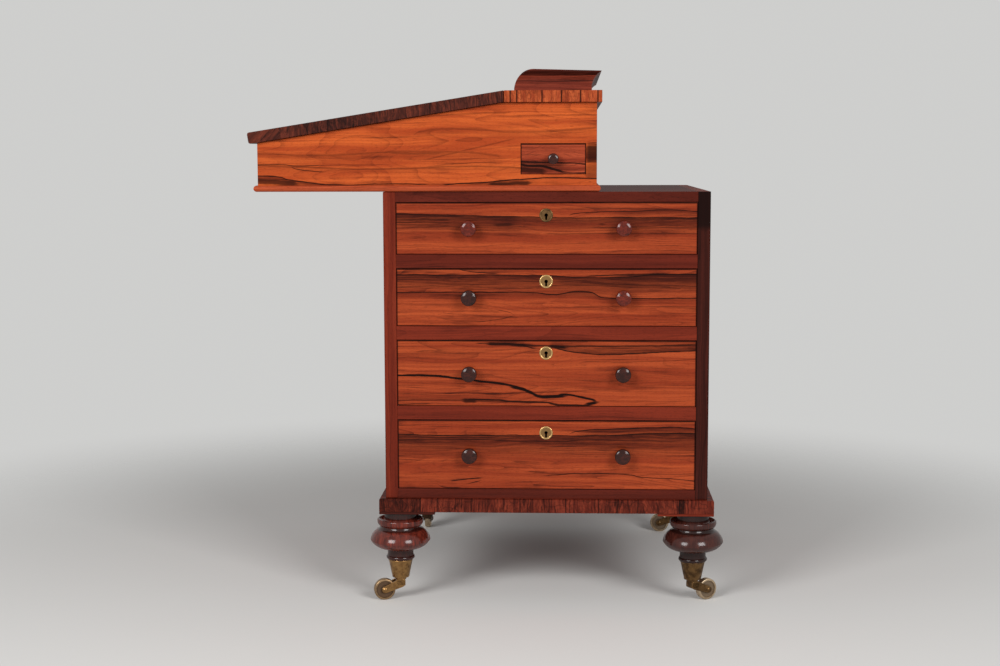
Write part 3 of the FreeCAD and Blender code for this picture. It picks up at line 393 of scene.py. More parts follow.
class Outline:
    """A closed curve round a centre, as a radius for each angle, with the angles of its corners."""

    def __init__(self, radius: Callable[[np.ndarray], np.ndarray], corners: Sequence[float] = ()) -> None:
        """Keeps the radius as a function of angle, and the corners' angles."""
        self.radius = radius
        self.corners = tuple(corners)

    @classmethod
    def circle(cls, size: float) -> "Outline":
        """A circle."""
        return cls(lambda angle: np.full(len(angle), size))

    @classmethod
    def polygon(cls, corners: np.ndarray, drawn_in: float = 0.0) -> "Outline":
        """A polygon round the centre, drawn in by a distance.

        A ray from the centre meets an edge from point s along e at distance (s x e) / (ray x e), and at the
        share (s x ray) / (ray x e) of the edge. The radius is the least distance whose share is from 0 to 1.

        Args:
            corners: the polygon's corners from the centre.
            drawn_in: how far every edge moves inward.

        Returns:
            The outline.
        """
        points = inset(corners, drawn_in) if drawn_in else corners
        edge = np.roll(points, -1, axis=0) - points

        def radius(angle: np.ndarray) -> np.ndarray:
            """Distance to the polygon along each angle."""
            ray = np.column_stack([np.cos(angle), np.sin(angle)])[:, None, :]
            turn = ray[..., 0] * edge[:, 1] - ray[..., 1] * edge[:, 0]
            turn = np.where(np.abs(turn) < 1e-12, 1e-12, turn)
            reach = (points[:, 0] * edge[:, 1] - points[:, 1] * edge[:, 0]) / turn
            share = (points[:, 0] * ray[..., 1] - points[:, 1] * ray[..., 0]) / turn
            met = (share > -1e-6) & (share < 1 + 1e-6) & (reach > 0)
            return np.where(met, reach, np.inf).min(axis=1)

        return cls(radius, np.arctan2(points[:, 1], points[:, 0]))

    @classmethod
    def rectangle(cls, low: Pair, high: Pair, drawn_in: float = 0.0) -> "Outline":
        """A rectangle between two corners, drawn in by a distance."""
        return cls.polygon(np.array([low, (high[0], low[1]), high, (low[0], high[1])], float), drawn_in)

    @classmethod
    def keyhole(cls, round_radius: float, slot_length: float) -> "Outline":
        """A keyhole: the larger of its round eye and the slot that hangs below it."""
        half = round_radius * 0.55

        def radius(angle: np.ndarray) -> np.ndarray:
            """Distance to the keyhole's edge along each angle."""
            side, fall = np.abs(np.cos(angle)), -np.sin(angle)
            slot = np.minimum(half / np.maximum(side, 1e-9), slot_length / np.maximum(fall, 1e-9))
            return np.where(fall > 0, np.maximum(round_radius, slot), round_radius)

        meeting = math.acos(half / round_radius)
        tip = math.atan2(-slot_length, half)
        return cls(radius, (tip, math.pi - tip, -meeting, meeting - math.pi))


def eased(outline: Callable[[float], Outline], arris: float) -> list[tuple[Outline, float]]:
    """The rings of a quarter-round edge: at turn t, drawn in by r (1 - sin t) at depth -r (1 - cos t)."""
    return [(outline(arris * (1 - math.sin(t))), -arris * (1 - math.cos(t)))
            for t in np.linspace(0, math.pi / 2, 4)]


def pierced(rings: Sequence[tuple[Outline, float]], origin: Sequence[float], axis: Axis,
            turns: int = 48) -> Shape:
    """A board or plate with one hole, as closed rings that go out over one face and back in over the other.

    Ring k is the curve radius k of angle, at depth k along the axis. The last ring runs on into the first.
    The angles are even steps and the angles of every outline's corners.

    Args:
        rings: outlines with their depths, in order.
        origin: the centre of the hole at depth nothing.
        axis: the direction of depth.
        turns: how many even steps go round.

    Returns:
        The closed piece.
    """
    even = np.arange(turns) * 2 * math.pi / turns
    corners = [np.array(outline.corners) for outline, _ in rings if len(outline.corners)]
    angle = np.unique(np.round(np.concatenate(corners + [even]) % (2 * math.pi), 5))
    rows = [np.column_stack([outline.radius(angle) * np.cos(angle), outline.radius(angle) * np.sin(angle),
                             np.full(len(angle), depth)]) for outline, depth in rings]
    return skin(axis.place(np.stack(rows), origin), round_rows=True, round_cols=True).outward()


# ---- shader kit ------------------------------------------------------------------------------------
Number = Union["Value", float]
Colour = tuple[float, float, float, float]
WHITE: Colour = (1.0, 1.0, 1.0, 1.0)


def tint(red: int, green: int, blue: int) -> Colour:
    """A colour as it looks on a screen, 0 to 255, as the shader's own light values."""
    def light(level: int) -> float:
        """One channel."""
        share = level / 255
        return share / 12.92 if share <= 0.04045 else ((share + 0.055) / 1.055) ** 2.4
    return light(red), light(green), light(blue), 1.0


class Value:
    """A number or a colour that changes over a surface. Arithmetic on it adds the Math nodes."""

    def __init__(self, recipe: "Recipe", socket: bpy.types.NodeSocket) -> None:
        """Wraps a node's output."""
        self.recipe = recipe
        self.socket = socket

    def _math(self, operation: str, *inputs: Number) -> "Value":
        """The result of one Math node."""
        return self.recipe.node("ShaderNodeMath", {"operation": operation}, dict(enumerate(inputs)))

    def __add__(self, other: Number) -> "Value":
        """self + other."""
        return self._math("ADD", self, other)

    __radd__ = __add__

    def __sub__(self, other: Number) -> "Value":
        """self - other."""
        return self._math("SUBTRACT", self, other)

    def __rsub__(self, other: Number) -> "Value":
        """other - self."""
        return self._math("SUBTRACT", other, self)

    def __mul__(self, other: Number) -> "Value":
        """self * other."""
        return self._math("MULTIPLY", self, other)

    __rmul__ = __mul__

    def __truediv__(self, other: Number) -> "Value":
        """self / other."""
        return self._math("DIVIDE", self, other)

    def __pow__(self, other: Number) -> "Value":
        """self ** other."""
        return self._math("POWER", self, other)

    def __abs__(self) -> "Value":
        """The size of the number without its sign."""
        return self._math("ABSOLUTE", self)

    def most(self, other: Number) -> "Value":
        """The larger of two numbers."""
        return self._math("MAXIMUM", self, other)

    def least(self, other: Number) -> "Value":
        """The smaller of two numbers."""
        return self._math("MINIMUM", self, other)

    def fraction(self) -> "Value":
        """What is left after the whole number."""
        return self._math("FRACT", self)

    def whole(self) -> "Value":
        """The whole number below."""
        return self._math("FLOOR", self)

    def rise(self, start: float, end: float, low: float = 0.0, high: float = 1.0) -> "Value":
        """Goes smoothly from low to high as the number goes from start to end."""
        return self.recipe.node("ShaderNodeMapRange", {"interpolation_type": "SMOOTHSTEP"},
                                {0: self, 1: start, 2: end, 3: low, 4: high})


class Grain(Enum):
    """Directions of a piece's grain, of the way across it and of its depth, in desk axes."""

    ALONG_X = ((1, 0, 0), (0, 0, 1), (0, 1, 0))
    ALONG_X_FLAT = ((1, 0, 0), (0, 1, 0), (0, 0, 1))
    ALONG_Y = ((0, 1, 0), (0, 0, 1), (1, 0, 0))
    ALONG_Y_FLAT = ((0, 1, 0), (1, 0, 0), (0, 0, 1))
    UPRIGHT = ((0, 0, 1), (1, 0, 0), (0, 1, 0))
    UPRIGHT_END = ((0, 0, 1), (0, 1, 0), (1, 0, 0))
    BANDED_X = ((0, 1, 1), (1, 0, 0), (0, 1, -1))
    BANDED_Y = ((1, 0, 1), (0, 1, 0), (1, 0, -1))


class Recipe:
    """Builds the nodes of a material or of the world: each comes from node(), and close() joins them up."""

    def __init__(self, owner: Union[bpy.types.Material, bpy.types.World]) -> None:
        """Starts with no nodes."""
        self.owner = owner
        owner.use_nodes = True
        self.tree = owner.node_tree
        self.tree.nodes.clear()

    @classmethod
    def named(cls, name: str) -> "Recipe":
        """The recipe of a new material."""
        return cls(bpy.data.materials.new(name))

    def node(self, kind: str, settings: Optional[dict] = None, inputs: Optional[dict] = None,
             out: Union[int, str] = 0) -> Value:
        """Adds a node.

        Args:
            kind: the node's type.
            settings: its own settings, set first; "course" fills a float curve.
            inputs: numbers, colours or values by socket name or number.
            out: the output that is wanted.

        Returns:
            That output.
        """
        made = self.tree.nodes.new(kind)
        for key, setting in (settings or {}).items():
            if key == "course":
                self._fill_curve(made.mapping, setting)
            else:
                setattr(made, key, setting)
        for key, given in (inputs or {}).items():
            if isinstance(given, Value):
                self.tree.links.new(given.socket, made.inputs[key])
            else:
                made.inputs[key].default_value = given
        return Value(self, made.outputs[out])

    @staticmethod
    def _fill_curve(mapping: bpy.types.CurveMapping, course: Sequence[Pair]) -> None:
        """Gives a float curve its points, from 0 to 1 both ways."""
        curve = mapping.curves[0]
        while len(curve.points) < len(course):
            curve.points.new(0.5, 0.5)
        for point, place in zip(curve.points, sorted(course)):
            point.location = place
        mapping.update()

    def place(self, centre: Triple, grain: Grain) -> tuple[Value, Value, Value]:
        """Millimetres from a centre along the grain, across it and in depth."""
        where = self.node("ShaderNodeTexCoord", out="Object")
        middle = tuple((np.array(centre) + DATUM) * MM)
        local = self.node("ShaderNodeMapping", {"vector_type": "TEXTURE"},
                          {"Vector": where, "Location": middle, "Scale": (MM, MM, MM)})
        along = {"operation": "DOT_PRODUCT"}
        return tuple(self.node("ShaderNodeVectorMath", along, {0: local, 1: way}, "Value")
                     for way in grain.value)

    def vector(self, along: Number, across: Number, depth: Number) -> Value:
        """Three numbers as one vector."""
        return self.node("ShaderNodeCombineXYZ", None, {0: along, 1: across, 2: depth})

    def noise(self, vector: Value, size: Triple, seed: float = 0.0, detail: float = 2.0,
              rough: float = 0.5) -> Value:
        """Smooth noise about 0.5, with patches of a size in millimetres each way."""
        scaled = self.node("ShaderNodeMapping", {"vector_type": "POINT"},
                           {"Vector": vector, "Location": (seed, seed * 1.7 + 3.1, seed * 0.6 - 5.3),
                            "Scale": tuple(1.0 / length for length in size)})
        return self.node("ShaderNodeTexNoise", {"noise_dimensions": "3D"},
                         {"Vector": scaled, "Scale": 1.0, "Detail": detail, "Roughness": rough})

    def chance(self, number: Value, seed: float = 0.0) -> Value:
        """A level from 0 to 1 that is the same wherever the number is."""
        return self.node("ShaderNodeTexWhiteNoise", {"noise_dimensions": "1D"}, {"W": number + seed})

    def blend(self, share: Number, first: Union[Value, Colour], second: Union[Value, Colour]) -> Value:
        """Two colours mixed by a share."""
        return self.node("ShaderNodeMix", {"data_type": "RGBA", "clamp_factor": True},
                         {0: share, 6: first, 7: second}, 2)

    def finish(self, colour: Value, roughness: Number, height: Optional[Value] = None, strength: float = 0.4,
               **constants: float) -> bpy.types.Material:
        """Joins a surface to the material's output.

        Args:
            colour: the base colour.
            roughness: the surface's roughness.
            height: bumps in millimetres.
            strength: how much of the bumps shows.
            constants: other sockets of the surface by name, with _ for a space.

        Returns:
            The material.
        """
        inputs: dict = {"Base Color": colour, "Roughness": roughness}
        if height is not None:
            inputs["Normal"] = self.node("ShaderNodeBump", None,
                                         {"Strength": strength, "Distance": MM, "Height": height})
        inputs.update({name.replace("_", " "): given for name, given in constants.items()})
        return self.close(self.node("ShaderNodeBsdfPrincipled", None, inputs))

    def close(self, surface: Value) -> Union[bpy.types.Material, bpy.types.World]:
        """Links a shader to the output."""
        kind = "World" if isinstance(self.owner, bpy.types.World) else "Material"
        end = self.tree.nodes.new(f"ShaderNodeOutput{kind}")
        self.tree.links.new(surface.socket, end.inputs["Surface"])
        return self.owner


# ---- finishes --------------------------------------------------------------------------------------
@dataclass(frozen=True)
class Streak:
    """A dark vein of the figure.

    course is its line in millimetres along and across the grain from the piece's middle, width its thickness
    and shade the breadth of the soft darkness on one side, below it where it is positive and above it where
    it is negative. The darkness runs from shade_from to shade_to along the grain.
    """

    course: tuple[Pair, ...]
    width: float = 1.2
    depth: float = 0.9
    shade: float = 0.0
    shade_depth: float = 0.6
    shade_from: float = -400.0
    shade_to: float = 400.0

    def masks(self, recipe: Recipe, along: Value, across: Value,
              waver: Value) -> tuple[Value, Optional[Value]]:
        """How dark the vein's line and its shade make each place, 0 to 1.

        Args:
            recipe: the material.
            along: millimetres along the grain.
            across: millimetres across it.
            waver: noise about 0.5 that breaks the vein's width.

        Returns:
            The line's darkness, and the shade's where there is one.
        """
        start, end = self.course[0][0], self.course[-1][0]
        levels = [level for _, level in self.course]
        low, high = min(levels) - 5.0, max(levels) + 5.0
        share = recipe.node("ShaderNodeMapRange", {"clamp": True}, {0: along, 1: start, 2: end})
        points = [((g - start) / (end - start), (level - low) / (high - low)) for g, level in self.course]
        curve = recipe.node("ShaderNodeFloatCurve", {"course": points}, {"Value": share})
        line = curve * (high - low) + low
        off = across - line
        ends = along.rise(start - 6, start + 9) * along.rise(end - 9, end + 6, 1.0, 0.0)
        breadth = (waver * 1.5 + 0.2) * ends * self.width + 0.01
        dark = (abs(off) / breadth).rise(0.35, 0.85, self.depth, 0.0) * ends
        if not self.shade:
            return dark, None
        side = off * (-1.0 / self.shade)
        soft = (1.0 - side).least(1.0).most(0.0) * side.rise(-0.03, 0.03) * self.shade_depth
        reach = along.rise(self.shade_from - 25, self.shade_from + 25)
        reach = reach * along.rise(self.shade_to - 25, self.shade_to + 25, 1.0, 0.0)
        return dark, soft * reach * ends * (waver * 1.2 + 0.4)


@dataclass(frozen=True)
class Rosewood:
    """Polished rosewood: long bands, growth lines, fine fibres, pores and drawn veins under a hard polish.

    bright, middle, deep and black are its tones from the lightest band to the veins. band_size and field_size
    are the reach of the bands and of the growth lines along the grain, across it and in depth. hollows are
    levels of a turned piece darkened with painted shade, each with its reach.
    """

    bright: Colour = tint(174, 77, 41)
    middle: Colour = tint(138, 53, 29)
    deep: Colour = tint(60, 22, 15)
    black: Colour = tint(24, 10, 8)
    band_size: Triple = (560.0, 13.0, 42.0)
    field_size: Triple = (560.0, 46.0, 60.0)
    rings: float = 30.0
    ring_depth: float = 0.7
    smoke: float = 0.7
    stripe: float = 0.0
    hollows: tuple[Pair, ...] = ()
    coat: float = 0.14
    coat_roughness: float = 0.12
    gloss: float = 0.30

    def material(self, name: str, centre: Triple, grain: Grain, seed: float = 0.0,
                 streaks: Sequence[Streak] = (), joints: Optional["Joints"] = None,
                 edges: Optional[Pair] = None) -> bpy.types.Material:
        """The material of one piece.

        Args:
            name: the material's name.
            centre: the piece's middle, from which the grain and its veins are laid out.
            grain: which way the grain runs.
            seed: shifts every pattern, so that no two pieces are alike.
            streaks: veins drawn along given courses.
            joints: the joints between cross-banded pieces, where there are any.
            edges: half the length and height of a drawer's front, whose edges get painted shade for the
                shadow in the gaps round it.

        Returns:
            The material.
        """
        r = Recipe.named(name)
        along, across, depth = r.place(centre, grain)
        shift: Number = 0.0
        tone: Number = 0.0
        if joints is not None:
            number, hairline = joints.pieces(r, across)
            tone = joints.tones(r, number, across, seed)
            shift = r.chance(number, seed + 3.0) * 300.0
        place = r.vector(along + shift, across, depth)
        warp = (r.noise(place, (190.0, 60.0, 60.0), seed) - 0.5) * 16.0
        ripple = (r.noise(place, (34.0, 11.0, 20.0), seed + 5, 2.0) - 0.5) * 2.2
        bent = r.vector(along + shift, across + warp + ripple, depth)
        bands = r.noise(bent, self.band_size, seed + 11, 3.0, 0.6).rise(0.36, 0.64)
        growth = r.noise(bent, self.field_size, seed + 23, 1.0) * self.rings
        ring = growth.fraction()
        ring_mark = (ring ** 6.0) * (r.chance(growth.whole(), seed + 5) ** 2.0) * self.ring_depth
        late_wood = (ring ** 2.0) * r.chance(growth.whole(), seed + 9).rise(0.2, 1.0)
        fibre = r.noise(bent, (48.0, 0.7, 2.5), seed + 31, 2.0, 0.7)
        strand = r.noise(bent, (190.0, 2.2, 8.0), seed + 37, 4.0, 0.68)
        smoke = r.noise(bent, (250.0, 6.0, 20.0), seed + 43, 4.0, 0.64).rise(0.54, 0.72, 0.0, self.smoke)
        pores = r.noise(bent, (7.5, 0.30, 0.7), seed + 41, 1.0).rise(0.60, 0.70)
        mottle = r.noise(place, (26.0, 30.0, 32.0), seed + 53, 3.0)
        cloud = r.noise(bent, (95.0, 15.0, 40.0), seed + 57, 4.0, 0.55)
        cloud = cloud.rise(0.5, 0.74, 0.0, self.smoke * 0.75)
        colour = r.blend(bands, self.middle, self.bright)
        if self.stripe:
            lines = r.noise(bent, (160.0, 2.6, 30.0), seed + 47, 2.0, 0.6)
            colour = r.blend(lines.rise(0.5, 0.66, 0.0, self.stripe), colour, self.deep)
        colour = r.blend((fibre - 0.36) * 0.8 + (strand - 0.44) * 1.8 + late_wood * 0.3, colour, self.middle)
        colour = r.blend((mottle - 0.46) * 0.5 + (0.5 - fibre) * 1.0 - tone + smoke
                         + late_wood * 0.35 + (strand - 0.58) * 1.6 + cloud, colour, self.deep)
        dark: Number = ring_mark * (fibre * 1.4 + 0.1)
        waver = r.noise(bent, (30.0, 2.2, 9.0), seed + 61, 4.0, 0.7)
        drawn = across + (r.noise(place, (40.0, 12.0, 30.0), seed + 67, 3.0) - 0.5) * 3.4
        for streak in streaks:
            line, shade = streak.masks(r, along, drawn, waver)
            dark = dark.most(line)
            if shade is not None:
                colour = r.blend(shade * (strand * 1.3 + 0.35), colour, self.deep)
        colour = r.blend(dark, colour, self.black)
        colour = r.blend(pores * 0.5, colour, self.black)
        # Painted shade: darkens a turned piece round each listed level, standing in for the shade in its
        # hollows.
        for level, reach in self.hollows:
            colour = r.blend(abs(along - level).rise(reach * 0.4, reach, 0.8, 0.0), colour, self.black)
        if joints is not None:
            colour = r.blend(hairline, colour, self.black)
        # Painted shade: dark bands along a front's edges stand in for the shadow in the gaps round the
        # drawer, broadest along the top.
        if edges is not None:
            ends = (edges[0] - abs(along)).rise(0.5, 2.2, 0.9, 0.0)
            above = (edges[1] - across).rise(0.9, 3.0, 0.95, 0.0)
            below = (edges[1] + across).rise(0.3, 1.2, 0.7, 0.0)
            colour = r.blend(ends.most(above).most(below) * (waver * 0.6 + 0.7), colour, self.black)
        rough = fibre * 0.10 + (self.gloss - 0.05) + pores * 0.15
        height = pores * -0.05 + (fibre - 0.5) * 0.012 + r.noise(place, (34.0, 34.0, 34.0), seed + 71) * 0.10
        return r.finish(colour, rough, height, 0.5, Specular_IOR_Level=0.0, Coat_Weight=self.coat,
                        Coat_Roughness=self.coat_roughness)


@dataclass(frozen=True)
class Joints:
    """Butt joints between the pieces of a cross-banding, at even steps that wander, or at written places."""

    pitch: float = 62.0
    shift: float = 0.0
    width: float = 0.5
    tone: float = 0.5
    places: tuple[float, ...] = ()
    darkness: tuple[float, ...] = ()

    def tones(self, r: Recipe, number: Value, across: Value, seed: float) -> Value:
        """How much lighter each piece is: by chance, or by the written darkness of each piece in turn."""
        chance = (r.chance(number, seed + 7.0) - 0.5) * self.tone
        for place, before, after in zip(self.places, self.darkness, self.darkness[1:]):
            chance = chance - across.rise(place - 0.01, place + 0.01, 0.0, after - before)
        return chance - self.darkness[0] if self.darkness else chance

    def pieces(self, r: Recipe, across: Value) -> tuple[Value, Value]:
        """The number of each place's piece, and the dark line between pieces.

        At even steps, the place is divided by the pitch after a bend of part of it that comes round every few
        pieces. With written places, the number is how many of them lie below.
        """
        if self.places:
            steps = [across.rise(place - 0.01, place + 0.01) for place in self.places]
            lines = [abs(across - place).rise(self.width * 0.5, self.width, 0.9, 0.0)
                     for place in self.places]
            number, line = steps[0], lines[0]
            for step, other in zip(steps[1:], lines[1:]):
                number, line = number + step, line.most(other)
            return number, line
        step = (across + self.shift) / self.pitch
        bent = step + r.node("ShaderNodeMath", {"operation": "SINE"}, {0: step * 2.1 + self.shift}) * 0.22
        edge = 0.5 - abs(bent.fraction() - 0.5)
        return bent.whole(), edge.rise(0.0, self.width / self.pitch * 1.6, 0.85, 0.0)


@dataclass(frozen=True)
class PlainWood:
    """Waxed or bare secondary wood with straight grain."""

    light: Colour
    dark: Colour
    gloss: float
    ring_size: Triple = (420.0, 9.0, 26.0)

    def material(self, name: str, centre: Triple, grain: Grain, seed: float = 0.0) -> bpy.types.Material:
        """The material of one piece, with growth bands, fibres, fleck and dust."""
        r = Recipe.named(name)
        along, across, depth = r.place(centre, grain)
        place = r.vector(along, across, depth)
        warp = r.noise(place, (220.0, 60.0, 60.0), seed) - 0.5
        bent = r.vector(along, across + warp * 12.0, depth)
        bands = r.noise(bent, self.ring_size, seed + 11, 3.0, 0.6).rise(0.36, 0.66)
        fibre = r.noise(bent, (40.0, 0.7, 1.6), seed + 17, 2.0, 0.7)
        grime = r.noise(place, (60.0, 50.0, 60.0), seed + 29, 4.0, 0.6)
        pores = r.noise(bent, (5.0, 0.35, 0.7), seed + 31, 1.0).rise(0.62, 0.72)
        colour = r.blend(bands, self.light, self.dark)
        colour = r.blend((fibre - 0.4) * 0.9, colour, self.dark)
        colour = r.blend(grime.rise(0.5, 0.8) * 0.35 + pores * 0.35, colour, tint(70, 46, 30))
        height = (fibre - 0.5) * 0.04 - pores * 0.05
        return r.finish(colour, fibre * 0.2 + self.gloss - 0.1, height, 0.5, Specular_IOR_Level=0.3)


@dataclass(frozen=True)
class Brass:
    """Old brass: bright on what is handled, brown in the hollows, with fine scratches."""

    bright: Colour = tint(196, 152, 92)
    tarnish: Colour = tint(104, 72, 38)
    wear: float = 0.5
    gloss: float = 0.28
    hollow: float = 0.0

    def material(self, name: str, centre: Triple, grain: Grain = Grain.UPRIGHT,
                 seed: float = 0.0) -> bpy.types.Material:
        """The material of one piece, with tarnish in patches, pits and rubbed streaks.

        Where hollow is written, the tarnish is thick as far as that from the piece's middle.
        """
        r = Recipe.named(name)
        along, across, depth = r.place(centre, grain)
        place = r.vector(along, across, depth)
        clean = 0.98 - self.wear * 0.4
        patch = r.noise(place, (9.0, 9.0, 9.0), seed, 4.0, 0.65).rise(clean - 0.36, clean)
        if self.hollow:
            far = r.node("ShaderNodeVectorMath", {"operation": "LENGTH"}, {0: place}, "Value")
            patch = patch.most(far.rise(self.hollow - 0.4, self.hollow + 0.2, 0.95, 0.0))
        spots = r.noise(place, (1.3, 1.3, 1.3), seed + 9, 3.0, 0.7).rise(0.56, 0.74)
        rubbed = r.noise(place, (14.0, 0.5, 0.5), seed + 17, 2.0, 0.7)
        colour = r.blend(patch * 0.8 + spots * 0.4, self.bright, self.tarnish)
        rough = self.gloss + patch * 0.22 + spots * 0.12 + (rubbed - 0.5) * 0.16
        height = spots * -0.03 + rubbed * 0.01 + patch * -0.01
        return r.finish(colour, rough, height, 0.6, Metallic=1.0)


@dataclass(frozen=True)
class Leather:
    """Old writing leather with a pebbled grain, scuffs and a plain double line round it."""

    hide: Colour = tint(92, 46, 30)
    worn: Colour = tint(134, 78, 50)
    gilt: Colour = tint(190, 148, 70)

    def material(self, name: str, centre: Triple, half: Pair) -> bpy.types.Material:
        """The material of the sheet.

        Args:
            name: the material's name.
            centre: the sheet's middle.
            half: half of its length up the slope, measured level, and half of its width.

        Returns:
            The material.
        """
        r = Recipe.named(name)
        up, side, lift = r.place(centre, Grain.ALONG_X_FLAT)
        place = r.vector(up, side, lift)
        pebble = r.node("ShaderNodeTexVoronoi", {"feature": "DISTANCE_TO_EDGE"},
                        {"Vector": r.vector(up / 1.3, side / 1.3, lift), "Scale": 1.0})
        grain_height = pebble.rise(0.0, 0.3)
        scuffs = r.noise(place, (34.0, 26.0, 26.0), 3.0, 6.0, 0.7).rise(0.42, 0.80)
        colour = r.blend(scuffs * 0.5 + (1.0 - grain_height) * -0.2, self.hide, self.worn)
        border = (half[0] - abs(up)).least(half[1] - abs(side))
        first = abs(border - 12.0).rise(0.7, 1.1, 1.0, 0.0)
        second = abs(border - 16.5).rise(0.3, 0.6, 1.0, 0.0)
        rub = r.noise(place, (5.0, 5.0, 5.0), 8.0, 4.0, 0.7).rise(0.35, 0.55)
        line = first.most(second) * (rub * 0.5 + 0.5)
        colour = r.blend(line, colour, self.gilt)
        height = grain_height * 0.12 - line * 0.2
        return r.finish(colour, scuffs * 0.06 + 0.66 - line * 0.2, height, 0.6, Specular_IOR_Level=0.2)


# Levels and reaches of painted shade in the hollows of the turned feet.
TURNED_HOLLOWS: tuple[Pair, ...] = ((34.0, 8.0), (13.0, 4.0), (-32.0, 13.0))


@dataclass(frozen=True)
class Palette:
    """Every finish of the desk."""

    front: Rosewood = Rosewood()
    # The box's own golden veneer, with tones lifted as painted light for the stronger light on the higher
    # box.
    box_side: Rosewood = Rosewood(
        tint(202, 94, 43), tint(164, 66, 31), tint(92, 34, 18), band_size=(300.0, 20.0, 42.0),
        field_size=(260.0, 60.0, 60.0), rings=22.0, ring_depth=0.5, smoke=0.6)
    stile: Rosewood = Rosewood(
        tint(126, 48, 30), tint(102, 35, 22), tint(66, 22, 15), band_size=(460.0, 8.0, 9.0),
        field_size=(480.0, 20.0, 20.0), rings=12.0, ring_depth=0.3, smoke=0.3)
    dark_stile: Rosewood = Rosewood(
        tint(70, 29, 22), tint(51, 21, 16), tint(28, 12, 10), band_size=(400.0, 6.0, 9.0),
        field_size=(420.0, 18.0, 18.0), rings=12.0)
    end_panel: Rosewood = Rosewood(
        tint(150, 60, 35), tint(118, 43, 26), tint(60, 22, 15), band_size=(520.0, 22.0, 40.0),
        field_size=(520.0, 90.0, 60.0), rings=34.0, smoke=0.6)
    rail: Rosewood = Rosewood(
        tint(124, 46, 29), tint(104, 37, 24), tint(68, 24, 17), rings=10.0, ring_depth=0.25, smoke=0.5)
    first_rail: Rosewood = replace(
        rail, bright=tint(106, 39, 26), middle=tint(88, 31, 21), deep=tint(58, 21, 15))
    dark_rail: Rosewood = replace(
        rail, bright=tint(98, 37, 26), middle=tint(80, 29, 20), deep=tint(52, 19, 14))
    crossband: Rosewood = Rosewood(
        tint(128, 53, 36), tint(90, 33, 23), tint(38, 15, 11), band_size=(180.0, 7.0, 30.0),
        field_size=(120.0, 44.0, 40.0), rings=18.0, ring_depth=1.2, smoke=0.5, stripe=0.95)
    top_band: Rosewood = Rosewood(
        tint(194, 94, 52), tint(150, 62, 34), tint(84, 32, 18), band_size=(200.0, 7.0, 30.0),
        field_size=(300.0, 26.0, 40.0), rings=20.0, smoke=0.3, stripe=0.55)
    top_board: Rosewood = Rosewood(
        tint(150, 62, 40), tint(118, 44, 29), tint(64, 24, 17), rings=22.0, smoke=0.6)
    lid_edge: Rosewood = Rosewood(
        tint(108, 50, 36), tint(66, 32, 26), tint(34, 20, 18), tint(18, 12, 12), (260.0, 8.0, 30.0),
        (300.0, 24.0, 40.0), rings=24.0, ring_depth=1.0, smoke=0.8, stripe=0.8)
    moulding: Rosewood = Rosewood(
        tint(184, 84, 50), tint(148, 61, 35), band_size=(500.0, 5.0, 5.0), field_size=(400.0, 12.0, 12.0),
        rings=5.0, smoke=0.2)
    gallery: Rosewood = Rosewood(
        tint(142, 62, 44), tint(110, 44, 32), tint(66, 26, 19), band_size=(500.0, 3.0, 4.0),
        field_size=(400.0, 10.0, 10.0), rings=14.0)
    turned: Rosewood = Rosewood(
        tint(122, 48, 34), tint(80, 29, 21), tint(34, 13, 11), band_size=(130.0, 7.0, 7.0),
        field_size=(150.0, 14.0, 14.0), rings=10.0, hollows=TURNED_HOLLOWS, coat=0.8, coat_roughness=0.16,
        gloss=0.2)
    dark_turned: Rosewood = replace(
        turned, bright=tint(76, 36, 28), middle=tint(56, 25, 20), deep=tint(32, 14, 12), coat=0.7)
    knob: Rosewood = Rosewood(
        tint(66, 27, 19), tint(44, 18, 13), tint(24, 10, 8), band_size=(60.0, 5.0, 5.0),
        field_size=(70.0, 8.0, 8.0), rings=6.0, coat=0.6, gloss=0.2)
    red_knob: Rosewood = replace(
        knob, bright=tint(118, 40, 24), middle=tint(86, 27, 17), deep=tint(40, 14, 10))
    pen_front: Rosewood = Rosewood(
        tint(176, 78, 48), tint(134, 52, 32), tint(62, 24, 17), band_size=(160.0, 9.0, 30.0),
        field_size=(130.0, 26.0, 40.0), rings=24.0, ring_depth=1.1, smoke=0.9)
    lining: PlainWood = PlainWood(tint(158, 98, 56), tint(116, 64, 36), gloss=0.42)
    core: PlainWood = PlainWood(tint(124, 70, 42), tint(84, 44, 28), gloss=0.5)
    pine: PlainWood = PlainWood(tint(206, 166, 112), tint(168, 120, 70), gloss=0.62)
    brass: Brass = Brass()
    plate_brass: Brass = Brass(tint(206, 168, 112), tint(92, 64, 38), wear=0.35, hollow=8.2)
    castor_brass: Brass = Brass(tint(162, 124, 78), tint(84, 58, 36), wear=0.62, gloss=0.24)
    dull_brass: Brass = Brass(tint(124, 94, 60), tint(54, 38, 26), wear=0.75, gloss=0.34)
    dark_brass: Brass = replace(dull_brass, bright=tint(78, 58, 42), tarnish=tint(40, 28, 22))
    wheel_brass: Brass = Brass(tint(158, 130, 98), tint(78, 60, 50), gloss=0.42, hollow=13.9)
    pale_wheel_brass: Brass = replace(wheel_brass, bright=tint(190, 168, 140), tarnish=tint(104, 88, 74))
    leather: Leather = Leather()


